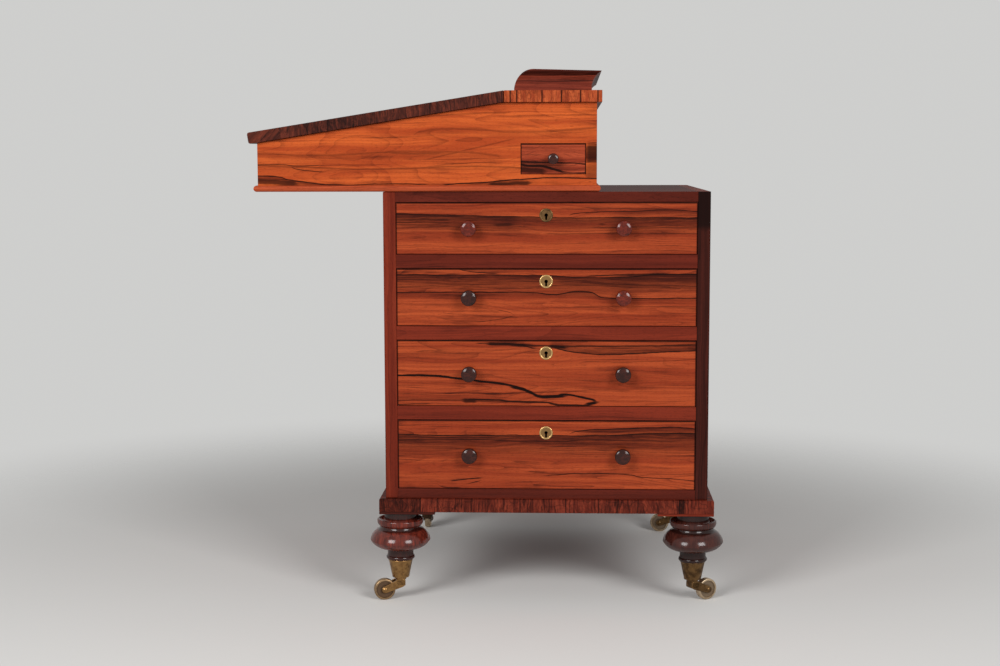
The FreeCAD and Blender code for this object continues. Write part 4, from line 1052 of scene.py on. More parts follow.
# ---- pieces ----------------------------------------------------------------------------------------
class Bench:
    """Makes pieces from shapes, dresses them and gives each to the body that carries it."""

    def __init__(self, palette: Palette) -> None:
        """Keeps the desk's finishes."""
        self.palette = palette
        self.nodes = frame["nodes"]
        self.body_of = {node: body for body, members in frame["record"]["behaviour"]["bodies"].items()
                        for node in members}
        self.slot_of = {part["node"]: part["material_slot"] for part in frame["record"]["subparts"]}

    def piece(self, name: str, shape: Shape, material: bpy.types.Material, node: str,
              slot: Optional[str] = None) -> None:
        """Makes a piece that stands for a solid of the frame.

        Args:
            name: the piece's name.
            shape: its surface.
            material: its finish.
            node: the solid, which gives its body.
            slot: not used.
        """
        mesh = bpy.data.meshes.new(name)
        mesh.vertices.add(len(shape.points))
        mesh.vertices.foreach_set("co", ((shape.points + DATUM) * MM).ravel())
        mesh.loops.add(len(shape.loops))
        mesh.loops.foreach_set("vertex_index", shape.loops.astype(np.int32))
        mesh.polygons.add(len(shape.counts))
        mesh.polygons.foreach_set("loop_start", shape.starts().astype(np.int32))
        mesh.polygons.foreach_set("use_smooth", np.ones(len(shape.counts), bool))
        mesh.update(calc_edges=True)
        mesh.validate()
        mesh.set_sharp_from_angle(angle=SHARP_EDGE)
        mesh.materials.append(material)
        made = bpy.data.objects.new(name, mesh)
        bpy.context.scene.collection.objects.link(made)
        evened = made.modifiers.new("even_normals", "WEIGHTED_NORMAL")
        evened.keep_sharp = True
        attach(made, self.body_of[node])
        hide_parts(node)
        LOG.info("%s: %d faces for %s", name, len(shape.counts), node)

    def dress(self, node: str, material: bpy.types.Material) -> None:
        """Gives a solid of the frame its finish."""
        target = self.nodes[node]
        target.data.materials.clear()
        target.data.materials.append(material)
        LOG.info("%s: dressed", node)


# ---- turned and cast fittings ----------------------------------------------------------------------
@dataclass(frozen=True)
class Knob:
    """A turned knob: a thick head, bevelled round a hollow face, a waist, a base ring and a shank."""

    radius: float = 12.5
    out: float = 22.0
    shank_radius: float = 5.0
    shank: float = 17.0

    def shape(self, place: Sequence[float], axis: Axis) -> Shape:
        """The knob on a face at place, pointing along axis."""
        waist, base, head = self.radius * 0.52, self.radius * 0.68, self.out * 0.52
        r, out = self.radius, self.out
        profile = Profile(0, -self.shank).to((self.shank_radius, -self.shank), (self.shank_radius, 0),
                                             (base, 0))
        profile.arc((base + out * 0.06, out * 0.06), (base, out * 0.12), 6).to((waist, out * 0.17))
        profile.arc((waist * 0.94, (out * 0.17 + out - head) / 2), (waist * 1.12, out - head), 6)
        profile.arc((r * 0.93, out - head * 0.86), (r, out - head * 0.5), 10)
        profile.arc((r * 0.997, out - head * 0.28), (r * 0.965, out - head * 0.185), 8)
        profile.arc((r * 0.84, out - head * 0.105), (r * 0.7, out - head * 0.055), 5)
        profile.arc((r * 0.6, out - head * 0.02), (r * 0.45, out - head * 0.02), 5)
        profile.arc((r * 0.25, out - head * 0.04), (r * 0.06, out - head * 0.05), 4)
        profile.to((0, out - head * 0.05))
        return lathe(profile.points(), place, axis, 48)


@dataclass(frozen=True)
class KeyPlate:
    """A round brass keyhole plate with a raised rim, let into a board."""

    radius: float = 10.8
    thickness: float = 2.4
    proud: float = 0.9
    eye: float = 2.9
    slot: float = 7.6
    bed_gap: float = 0.06

    @property
    def hole(self) -> Outline:
        """The keyhole's outline."""
        return Outline.keyhole(self.eye, self.slot)

    def board_rings(self, outline: Callable[[float], Outline], arris: float,
                    depth: float) -> list[tuple[Outline, float]]:
        """The rings of a board with an eased face, let in for the plate and bored for its keyhole."""
        bed, recess = self.thickness - self.proud, Outline.circle(self.radius + self.bed_gap)
        return [(recess, 0.0), *eased(outline, arris), (outline(0.0), -depth), (self.hole, -depth),
                (self.hole, -bed), (recess, -bed)]

    def shape(self, place: Sequence[float], axis: Axis) -> Shape:
        """The plate with its keyhole, on a face at place, looking along axis."""
        r, face = self.radius, self.proud
        back = face - self.thickness
        rim = Profile(r, back).to((r, face * 0.3)).arc((r - 0.5, face * 0.9), (r - 1.3, face), 5)
        rim.arc((r - 2.1, face * 0.9), (r - 2.6, face * 0.3), 5)
        rings = [(Outline.circle(radius), level) for radius, level in rim.points()]
        rings += [(self.hole, face * 0.3 - 0.02), (self.hole, back)]
        return pierced(rings, place, axis)


@dataclass(frozen=True)
class BoxLock:
    """A lock let into the back of a board, with four screws a little proud."""

    width: float = 56.0
    height: float = 34.0
    thickness: float = 9.0
    below: float = 0.62
    screw_radius: float = 3.0
    screw_margin: float = 6.0
    plate: KeyPlate = KeyPlate()

    def shape(self, keyhole: Sequence[float], axis: Axis, board_thickness: float) -> Shape:
        """The lock behind a keyhole's centre; axis points from the lock to the outer face."""
        u, v = self.width / 2, self.height * self.below
        low, high = (-u, -v), (u, self.height - v)
        back, face = -board_thickness, self.thickness - board_thickness
        rings = [(self.plate.hole, face), (Outline.rectangle(low, high), face),
                 (Outline.rectangle(low, high), back + 0.4), (Outline.rectangle(low, high, 0.4), back),
                 (self.plate.hole, back)]
        lock = pierced(rings, keyhole, axis, 24)
        across, reach = u - self.screw_margin, self.height / 2 - self.screw_margin
        middle = self.height / 2 - v
        head = Profile(0, 0.1).to((self.screw_radius, 0.1))
        head.arc((self.screw_radius * 0.7, -0.3), (0.4, -0.4), 5).to((0, -0.4))
        screws = []
        for a in (-across, across):
            for b in (middle - reach, middle + reach):
                origin = axis.place(np.array([a, b, back]), keyhole)
                screws.append(lathe(head.points(), origin, axis, 20))
        return joined([lock, *screws])


# ---- sub-assemblies --------------------------------------------------------------------------------
@dataclass
class Assembly:
    """A group of pieces that one build() makes."""

    bench: Bench

    @property
    def palette(self) -> Palette:
        """The desk's finishes."""
        return self.bench.palette


# ---- the case --------------------------------------------------------------------------------------
@dataclass
class Case(Assembly):
    """The carcass: two solid ends, top, bottom, rails with drawer stops, dust frames and the dummy side."""

    arris: float = 1.0
    lipping: float = 3.0
    rail_depth: float = 60.0
    rail: float = 22.0
    openings: tuple[float, ...] = (83.5, 93.0, 107.5, 113.5)
    top_opening: float = 652.0
    stop: Triple = (40.0, 28.0, 5.6)
    stop_gap: float = 0.4
    stop_spread: float = 40.0
    fine_gap: float = 0.7
    facing: float = 6.0

    def spans(self) -> list[Pair]:
        """The low and high level of each drawer opening, from the top down."""
        spans, high = [], self.top_opening
        for height in self.openings:
            spans.append((high - height, high))
            high -= height + self.rail
        return spans

    def build(self) -> None:
        """Makes and dresses all of the carcass."""
        self.ends()
        self.rails()
        self.boards()
        self.sham_fronts()

    def ends(self) -> None:
        """The solid ends, each with a lipping on its near edge that shows as a stile."""
        # The dark stile takes a painted shadow over its top.
        for node, wood, seed, wear in (("case_front_panel", self.palette.stile, 2.0, ()),
                                       ("case_back_panel", self.palette.dark_stile, 5.0, (STILE_TOP_SHADE,))):
            box = Box.of(node)
            seam = box.low[1] + self.lipping
            stile = Box(box.low, (box.high[0], seam, box.high[2]))
            material = wood.material(node + "_stile", box.centre, Grain.UPRIGHT, seed, wear)
            self.bench.piece(node + "_lipping", board(stile, self.arris), material, node)
            panel = Box((box.low[0], seam, box.low[2]), box.high)
            material = self.palette.end_panel.material(node, box.centre, Grain.UPRIGHT_END, seed + 60.0,
                                                       END_FIGURE)
            self.bench.piece(node + "_board", board(panel, 0.4), material, node)

    def rails(self) -> None:
        """The rails between the drawers, and two stop blocks at each opening."""
        box = Box.of("drawer_rails")
        x0, x1 = box.low[0], box.high[0]
        for number, (low, _) in enumerate(self.spans()[:-1], 1):
            rail = Box((x0, 0.0, low - self.rail), (x1, self.rail_depth, low))
            wood = self.palette.first_rail if number == 1 else self.palette.rail
            material = wood.material(f"rail_{number}", rail.centre, Grain.ALONG_X, 7.0 + number * 5.3)
            self.bench.piece(f"drawer_rail_{number}", board(rail, 0.5), material, "drawer_rails")
        length, depth, height = self.stop
        front = Box.of("drawer_1_front").high[1] + self.stop_gap
        wood = self.palette.lining.material("stop_blocks", box.centre, Grain.ALONG_X, 9.0)
        for number, (low, _) in enumerate(self.spans(), 1):
            for side, hand in ((0.25, "left"), (0.75, "right")):
                middle = x0 + side * (x1 - x0) + (side - 0.5) * self.stop_spread
                stop = Box((middle - length / 2, front, low),
                           (middle + length / 2, front + depth, low + height))
                self.bench.piece(f"stop_{number}_{hand}", board(stop, 0.6), wood, "drawer_rails")

    def boards(self) -> None:
        """Top, bottom, dust frames and the dummy side."""
        for node, wood, grain, seed in (
                ("case_top", self.palette.dark_rail, Grain.ALONG_X_FLAT, 12.0),
                ("case_bottom", self.palette.dark_rail, Grain.ALONG_X, 14.0),
                ("case_dummy_side", self.palette.rail, Grain.ALONG_X, 16.0),
                ("dust_frames", self.palette.pine, Grain.ALONG_X_FLAT, 18.0)):
            self.bench.dress(node, wood.material(node, Box.of(node).centre, grain, seed))

    def sham_fronts(self) -> None:
        """Sham drawer fronts on the far side, each let in for its keyhole plate, with plates and knobs."""
        box = Box.of("dummy_fronts")
        knob, plate, spacing = Knob(shank=15.0), KeyPlate(), DrawerStack.knob_spacing
        for number, (low, high) in enumerate(self.spans(), 1):
            face = box.high[1]
            middle = (box.centre[0], face, (low + high) / 2)
            eye = (box.centre[0], face, high - self.fine_gap - DrawerStack.plate_drop)
            corner = (box.low[0] - eye[0], low + self.fine_gap - eye[2])
            opposite = (box.high[0] - eye[0], high - self.fine_gap - eye[2])
            rings = plate.board_rings(partial(Outline.rectangle, corner, opposite), DrawerStack.arris,
                                      self.facing)
            name = f"sham_front_{number}"
            material = self.palette.front.material(name, middle, Grain.ALONG_X, 210.0 + number * 4.1,
                                                   SHAM_FIGURES[number % 2])
            self.bench.piece(name, pierced(rings, eye, Axis.TO_FAR, 24), material, "dummy_fronts")
            for side, hand in ((-1, "left"), (1, "right")):
                place = (middle[0] + side * spacing / 2, face, middle[2])
                name = f"dummy_knob_{number}_{hand}"
                material = self.palette.knob.material(name, place, Grain.ALONG_Y, 20.0 + number * 2 + side)
                self.bench.piece(name, knob.shape(place, Axis.TO_FAR), material, "dummy_knobs")
            name = f"dummy_key_plate_{number}"
            metal = self.palette.plate_brass.material(name, eye, Grain.ALONG_X, 11.0 + number)
            self.bench.piece(name, plate.shape(eye, Axis.TO_FAR), metal, "dummy_escutcheons")


@dataclass
class Plinth(Assembly):
    """The cross-banded plinth with its corner blocks."""

    proud: float = 10.0
    inside: float = 8.0
    height: float = 21.5
    arris: float = 2.0
    block: float = 80.0
    pad: float = 4.0
    seat: float = 21.0
    dowel_radius: float = 12.0

    def build(self) -> None:
        """Makes the four mitred strips and the four blocks."""
        box = Box.of("plinth_frame")
        base = box.low[2]
        high = (box.high[0] - self.proud, box.high[1] - self.proud)
        r, top = self.arris, base + self.height
        section = Profile(-self.inside, base).to((self.proud - 0.7, base)).arc((self.proud - 0.2, base + 0.2),
                                                                               (self.proud, base + 0.7), 3)
        section.to((self.proud, top - r)).arc((self.proud - r * 0.293, top - r * 0.293),
                                              (self.proud - r, top), 5)
        section.to((-self.inside, top))
        strips = mitred_strips(section.points(), (0.0, 0.0), high)
        for strip, name, seed in zip(strips, ("near", "back", "far", "sitter"), (30.0, 34.0, 37.0, 39.0)):
            joints = PLINTH_JOINTS if name == "near" else Joints()
            grain = Grain.BANDED_X if name in ("near", "far") else Grain.BANDED_Y
            material = self.palette.crossband.material(f"plinth_{name}", box.centre, grain, seed,
                                                       joints=joints)
            self.bench.piece(f"plinth_{name}", strip, material, "plinth_frame")
        self.blocks(high, base - self.pad)

    def blocks(self, high: Pair, base: float) -> None:
        """The corner blocks: a pad under the plinth's corner with a block inside it, bored for the foot."""
        top = base + self.pad + self.height
        for number, (x, y) in enumerate(((0.0, 0.0), (high[0], 0.0), (0.0, high[1]), high), 1):
            way_x, way_y = (1 if x == 0 else -1), (1 if y == 0 else -1)
            centre = (x + way_x * self.seat, y + way_y * self.seat)

            def corners(outer: float) -> Outline:
                """A square from outer to the block's inner edge, seen from the bore's centre."""
                spans = [sorted(way * (edge - self.seat) for edge in (outer, self.block))
                         for way in (way_x, way_y)]
                return Outline.rectangle((spans[0][0], spans[1][0]), (spans[0][1], spans[1][1]))

            bore = Outline.circle(self.dowel_radius + 0.05)
            level = base + self.pad
            rings = [(bore, base), (corners(-self.proud + 0.5), base), (corners(-self.proud), base + 0.5),
                     (corners(-self.proud), level), (corners(self.inside), level),
                     (corners(self.inside), top), (bore, top)]
            wood = (self.palette.dark_stile, self.palette.stile, self.palette.dark_stile,
                    self.palette.stile)[number - 1]
            material = wood.material(f"corner_block_{number}", (*centre, level), Grain.ALONG_X, 33.0 + number)
            self.bench.piece(f"corner_block_{number}", pierced(rings, (*centre, 0.0), Axis.UP, 32), material,
                             "plinth_corner_blocks")


PLINTH_JOINTS = Joints(width=1.0, tone=0.3,
                       places=(-203, -176, -121, -42, 5, 32, 85, 148, 214, 222),
                       darkness=(0.75, -0.25, 0.15, 0.0, 0.15, -0.3, 0.1, 0.2, 0.15, 0.9, -0.3))


@dataclass
class Feet(Assembly):
    """Four turned feet on brass castors."""

    inset: float = 21.0
    socket_rim: float = 67.8
    height: float = 79.7
    dowel_radius: float = 12.0
    dowel: float = 18.0
    socket_base: float = 37.0
    socket_plate: float = 5.0
    pivot_radius: float = 4.0
    bore_gap: float = 0.05
    wheel_radius: float = 17.5
    wheel_width: float = 11.0
    axle_radius: float = 2.5
    trail: float = 27.0
    headings: tuple[float, ...] = (194.0, 30.0, 90.0, 170.0)

    def build(self) -> None:
        """Makes the feet, sockets, horns and wheels."""
        case = Box.of("case_back_panel")
        width, depth = case.high[0], case.high[1]
        centres = [(x, y) for y in (self.inset, depth - self.inset) for x in (self.inset, width - self.inset)]
        for number, (x, y) in enumerate(centres, 1):
            middle = (x, y, self.socket_rim + self.height / 2)
            wood = self.palette.turned if number in (1, 4) else self.palette.dark_turned
            material = wood.material(f"foot_{number}", middle, Grain.UPRIGHT, 40.0 + number)
            self.bench.piece(f"foot_{number}", self.foot(x, y), material, "turned_feet")
            brass = (self.palette.castor_brass, self.palette.dull_brass, self.palette.dark_brass,
                     self.palette.dull_brass)[number - 1]
            metal = brass.material(f"socket_{number}", middle, Grain.UPRIGHT, 50.0 + number)
            self.bench.piece(f"castor_socket_{number}", self.socket(x, y), metal, "castor_sockets")
            heading = self.headings[number - 1]
            metal = brass.material(f"horn_{number}", (x, y, 30.0), Grain.ALONG_X, 55.0 + number)
            self.bench.piece(f"castor_{number}_fork", self.horn(x, y, heading), metal,
                             f"castor_{number}_horn")
            turn = math.radians(heading)
            hub = (x + self.trail * math.cos(turn), y + self.trail * math.sin(turn), self.wheel_radius)
            brass = self.palette.wheel_brass if number == 1 else self.palette.pale_wheel_brass
            metal = brass.material(f"wheel_{number}", hub, Grain.UPRIGHT, 60.0 + number)
            self.bench.piece(f"castor_{number}_disc", self.wheel(x, y, heading), metal,
                             f"castor_{number}_wheel")

    def foot(self, x: float, y: float) -> Shape:
        """A turned foot: dowel, neck, dished ring, flattened bulb, collar, bead and the socket's spigot."""
        outline = Profile(0, -22.3).to((7, -22.3), (7, -25.8), (12.62, -25.8), (16.4, 0), (21, 0))
        outline.arc((23.3, 3.2), (21.4, 6.4), 8).arc((21, 12), (22.6, 18.9), 6)
        outline.arc((40.2, 22.8), (48.9, 32.4), 10).arc((44.2, 43.9), (37, 50.2), 10)
        outline.arc((33.9, 52.4), (32.6, 55.5), 6).arc((36.4, 58.8), (37.6, 64.4), 8)
        outline.arc((36.2, 67.6), (33.6, 67), 6)
        outline.to((27, 65.2), (26, 66.7), (26, self.height), (self.dowel_radius, self.height),
                   (self.dowel_radius, self.height + self.dowel), (0, self.height + self.dowel))
        return lathe(outline.points(), (x, y, self.socket_rim), Axis.UP, 96)

    def socket(self, x: float, y: float) -> Shape:
        """A tapered brass cup round the foot's spigot, bored for the castor's pivot."""
        base, plate_top, rim = self.socket_base, self.socket_base + self.socket_plate, self.socket_rim
        bore = self.pivot_radius + self.bore_gap
        outline = Profile(bore, base).to((13, base)).arc((13.8, base + 0.3), (14, base + 1.2), 4)
        outline.to((19.5, rim - 2.4)).arc((20.4, rim - 1.2), (19.5, rim), 6)
        outline.to((16.4, rim), (12.62, plate_top), (bore, plate_top))
        return lathe(outline.points(), (x, y, 0), Axis.UP, 64)

    def horn(self, x: float, y: float, heading: float) -> Shape:
        """The swivelling horn: pivot with its collar, a block, two cheeks and the riveted axle."""
        r = self.pivot_radius
        top = self.socket_base + self.socket_plate + 0.3
        pivot = Profile(0, 33.4).to((9, 33.4), (9, 36), (8.4, 36.6), (r, 36.6), (r, top), (r + 2, top),
                                    (r + 2, top + 2), (0, top + 2))
        pieces = [lathe(pivot.points(), (x, y, 0), Axis.UP, 40),
                  board(Box((x - 6.5, y - 9, 23), (x + 8.6, y + 9, 33.6)), 1.2)]
        hub = (x + self.trail, self.wheel_radius)
        cheek = link((x + 1.0, 27.8), 7.4, hub, 5.4)
        for side in (-1, 1):
            span = sorted((-y - side * 6.0, -y - side * 9.0))
            pieces.append(plate(cheek, span[0], span[1], Axis.TO_NEAR, 0.7))
            rivet = Profile(0, 8.9).to((3.7, 8.9), (3.7, 9.1)).arc((2.7, 9.85), (0.3, 10.1), 5).to((0, 10.1))
            axis = Axis.TO_FAR if side > 0 else Axis.TO_NEAR
            pieces.append(lathe(rivet.points(), (hub[0], y, hub[1]), axis, 28))
        pin = Profile(0, -9.2).to((self.axle_radius, -9.2), (self.axle_radius, 9.2), (0, 9.2))
        pieces.append(lathe(pin.points(), (hub[0], y, hub[1]), Axis.TO_FAR, 24))
        return joined(pieces).turned(heading, (x, y))

    def wheel(self, x: float, y: float, heading: float) -> Shape:
        """A brass wheel with a broad round tyre, a thin web and a hub, trailing from its pivot."""
        r, half, tyre, bore = self.wheel_radius, self.wheel_width / 2, 2.0, self.axle_radius + self.bore_gap
        bulge = tyre * math.sqrt(0.5)
        outline = Profile(bore, -half + 0.3)
        outline.to((6.2, -half + 0.3), (7.2, -half + 2.2), (r - 4.2, -half + 2.2), (r - 3.4, -half),
                   (r - tyre, -half))
        outline.arc((r - tyre + bulge, -half + tyre - bulge), (r, -half + tyre), 6).to((r, half - tyre))
        outline.arc((r - tyre + bulge, half - tyre + bulge), (r - tyre, half), 6)
        outline.to((r - 3.4, half), (r - 4.2, half - 2.2), (7.2, half - 2.2), (6.2, half - 0.3),
                   (bore, half - 0.3))
        disc = lathe(outline.points(), (x + self.trail, y, r), Axis.TO_FAR, 64)
        return disc.turned(heading, (x, y))


# ---- drawers ---------------------------------------------------------------------------------------
@dataclass(frozen=True)
class DrawerBox:
    """The boards of a drawer behind its front, in a frame whose front is at 0 and whose length is along +Y.

    half is half the width, low and high the sides' levels and back_high the back's. The sides start at start,
    run to length and are dovetailed into the front as far as front. The joints are drawn with a fine gap.
    """

    half: float
    start: float
    front: float
    length: float
    low: float
    high: float
    floor: float
    back_high: float
    side: float
    back: float
    bottom: float
    gap: float = 0.12

    def tails(self, root: float, tip: float, mirror: bool) -> list[np.ndarray]:
        """The gaps between the dovetails at one end, as four-cornered outlines along the length and height.

        A tail's half height is 0.36 of the pitch at its tip and 0.27 at its root. A pin fills what is left
        between two tails.
        """
        height = self.high - self.low
        count = max(2, round(height / 28.0))
        pitch = height / count
        wide, narrow = 0.36 * pitch, 0.27 * pitch
        middles = self.low + pitch * (np.arange(count) + 0.5)
        pins = []
        for k in range(count + 1):
            below = middles[k - 1] if k else None
            above = middles[k] if k < count else None
            low_tip, low_root = (self.low, self.low) if below is None else (below + wide, below + narrow)
            high_tip, high_root = (self.high, self.high) if above is None else (above - wide, above - narrow)
            pins.append(np.array([(tip, low_tip), (root, low_root), (root, high_root), (tip, high_tip)]))
        return pins[::-1] if mirror else pins

    def side_outline(self) -> np.ndarray:
        """The outline of a side board along the length and height, with dovetails at both ends."""
        front = self.tails(self.front, self.start, False)
        rear = self.tails(self.length - self.back, self.length, True)
        points: list = []
        for k, pin in enumerate(rear):
            points += [pin[3], pin[2], pin[1], pin[0]] if 0 < k < len(rear) - 1 else (
                [pin[2], pin[1], pin[0]] if k == 0 else [pin[3], pin[2], pin[1]])
        for k, pin in enumerate(front):
            points += [pin[0], pin[1], pin[2], pin[3]] if 0 < k < len(front) - 1 else (
                [pin[1], pin[2], pin[3]] if k == 0 else [pin[0], pin[1], pin[2]])
        return np.array(points)

    def sides(self) -> list[Shape]:
        """The two side boards."""
        outline = self.side_outline()
        return [plate(outline, -x - self.side, -x, Axis.ALONG_SIDE, 0.15, 1)
                for x in (-self.half, self.half - self.side)]

    def plain_sides(self) -> list[Shape]:
        """The two side boards of a little drawer, butted behind its front."""
        return [board(Box((x, self.front, self.low), (x + self.side, self.length, self.high)), 0.5)
                for x in (-self.half, self.half - self.side)]

    def pins(self, rear: bool) -> Shape:
        """The dovetail pins of the front or of the back, at both sides."""
        if rear:
            outlines = self.tails(self.length - self.back, self.length, False)
        else:
            outlines = self.tails(self.front, self.start, False)
        return joined([plate(inset(outline, self.gap), -x - self.side + 0.05, -x - 0.05, Axis.ALONG_SIDE,
                             0.05, 1)
                       for outline in outlines for x in (-self.half, self.half - self.side)])

    def back_board(self) -> Shape:
        """The back between the sides."""
        inner = self.half - self.side
        return board(Box((-inner, self.length - self.back, self.floor + self.bottom),
                         (inner, self.length, self.back_high)), 0.6)

    def bottom_board(self) -> Shape:
        """The bottom between the sides."""
        inner = self.half - self.side
        top = self.floor + self.bottom
        return board(Box((-inner, self.front, self.floor), (inner, self.length, top)), 0.3)


@dataclass
class DrawerStack(Assembly):
    """The four drawers: each a veneered front, a dovetailed box, two knobs, a keyhole plate and a lock."""

    arris: float = 0.7
    lap: float = 7.0
    side: float = 10.0
    back: float = 8.0
    bottom: float = 6.0
    lip: float = 3.3
    floor_rise: float = 6.0
    back_drop: float = 6.0
    plate_drop: float = 20.3
    knob_spacing: float = 246.0
    knob: Knob = Knob()
    key_plate: KeyPlate = KeyPlate()
    lock: BoxLock = BoxLock()

    def build(self) -> None:
        """Makes all four drawers."""
        for number, streaks in enumerate(FIGURES, 1):
            self.front(number, streaks)
            self.box(number)
            self.fittings(number)

    def keyhole_place(self, box: Box) -> Triple:
        """The centre of the keyhole plate on a front's face."""
        return (box.centre[0], box.low[1], box.high[2] - self.plate_drop)

    def front(self, number: int, streaks: Sequence[Streak]) -> None:
        """A rosewood face in front of the sides' ends, and a core behind it, narrower by the sides."""
        node = f"drawer_{number}_front"
        box = Box.of(node)
        place = self.keyhole_place(box)
        low = (box.low[0] - place[0], box.low[2] - place[2])
        high = (box.high[0] - place[0], box.high[2] - place[2])
        width, thickness, height = box.size
        rings = self.key_plate.board_rings(partial(Outline.rectangle, low, high), self.arris, self.lap)
        middle = (box.centre[0], box.low[1], box.centre[2])
        material = self.palette.front.material(node, middle, Grain.ALONG_X, 70.0 + number * 3.7, streaks,
                                               edges=(width / 2, height / 2))
        self.bench.piece(f"drawer_{number}_face", pierced(rings, place, Axis.TO_NEAR, 24), material, node)
        inner = Outline.rectangle((low[0] + self.side, low[1]), (high[0] - self.side, high[1]))
        core = pierced([(inner, -self.lap), (inner, -thickness), (self.key_plate.hole, -thickness),
                        (self.key_plate.hole, -self.lap)], place, Axis.TO_NEAR, 24)
        lips = [board(Box((x, box.low[1] + self.lap, box.high[2] - self.lip),
                          (x + self.side, box.high[1], box.high[2])), 0.2)
                for x in (box.low[0], box.high[0] - self.side)]
        pins = self.boards(number).pins(False).moved(x=box.centre[0])
        wood = self.palette.core.material(f"drawer_{number}_core", middle, Grain.ALONG_X, 80.0 + number)
        self.bench.piece(f"drawer_{number}_core", joined([core, *lips, pins]), wood, node, "drawer_lining")

    def boards(self, number: int) -> DrawerBox:
        """The sizes of a drawer's box."""
        box = Box.of(f"drawer_{number}_box")
        return DrawerBox(box.size[0] / 2, box.low[1], Box.of(f"drawer_{number}_front").high[1], box.high[1],
                         box.low[2], box.high[2], box.low[2] + self.floor_rise, box.high[2] - self.back_drop,
                         self.side, self.back, self.bottom)

    def box(self, number: int) -> None:
        """Two dovetailed sides, a back and a bottom."""
        node = f"drawer_{number}_box"
        centre = Box.of(node).centre
        boards = self.boards(number)
        left, right = boards.sides()
        back = joined([boards.back_board(), boards.pins(True)])
        for name, shape, grain, seed in (
                ("left_side", left, Grain.ALONG_Y, 90.0 + number * 2.3),
                ("right_side", right, Grain.ALONG_Y, 90.0 + number * 2.3),
                ("back", back, Grain.ALONG_X, 94.0 + number * 1.9),
                ("bottom", boards.bottom_board(), Grain.ALONG_X_FLAT, 97.0 + number * 1.3)):
            material = self.palette.lining.material(f"{node}_{name}", centre, grain, seed)
            self.bench.piece(f"{node}_{name}", shape.moved(x=centre[0]), material, node)

    def fittings(self, number: int) -> None:
        """Knobs, keyhole plate and lock."""
        box = Box.of(f"drawer_{number}_front")
        node = f"drawer_{number}_knobs"
        for side, hand in ((-1, "left"), (1, "right")):
            place = (box.centre[0] + side * self.knob_spacing / 2, box.low[1], box.centre[2])
            wood = self.palette.red_knob if (number, side) in ((1, -1), (1, 1), (2, 1)) else self.palette.knob
            material = wood.material(f"knob_{number}_{hand}", place, Grain.ALONG_Y, number * 2.0 + side)
            self.bench.piece(f"drawer_{number}_knob_{hand}", self.knob.shape(place, Axis.TO_NEAR), material,
                             node)
        node = f"drawer_{number}_lock"
        place = self.keyhole_place(box)
        brass = self.palette.plate_brass if number > 1 else self.palette.dull_brass
        metal = brass.material(f"key_plate_{number}", place, Grain.ALONG_X, 7.0 * number)
        self.bench.piece(f"drawer_{number}_key_plate", self.key_plate.shape(place, Axis.TO_NEAR), metal, node)
        metal = self.palette.brass.material(f"box_lock_{number}", place, Grain.ALONG_X, 7.0 * number + 3)
        lock = self.lock.shape(place, Axis.TO_NEAR, box.size[1])
        self.bench.piece(f"drawer_{number}_box_lock", lock, metal, node)


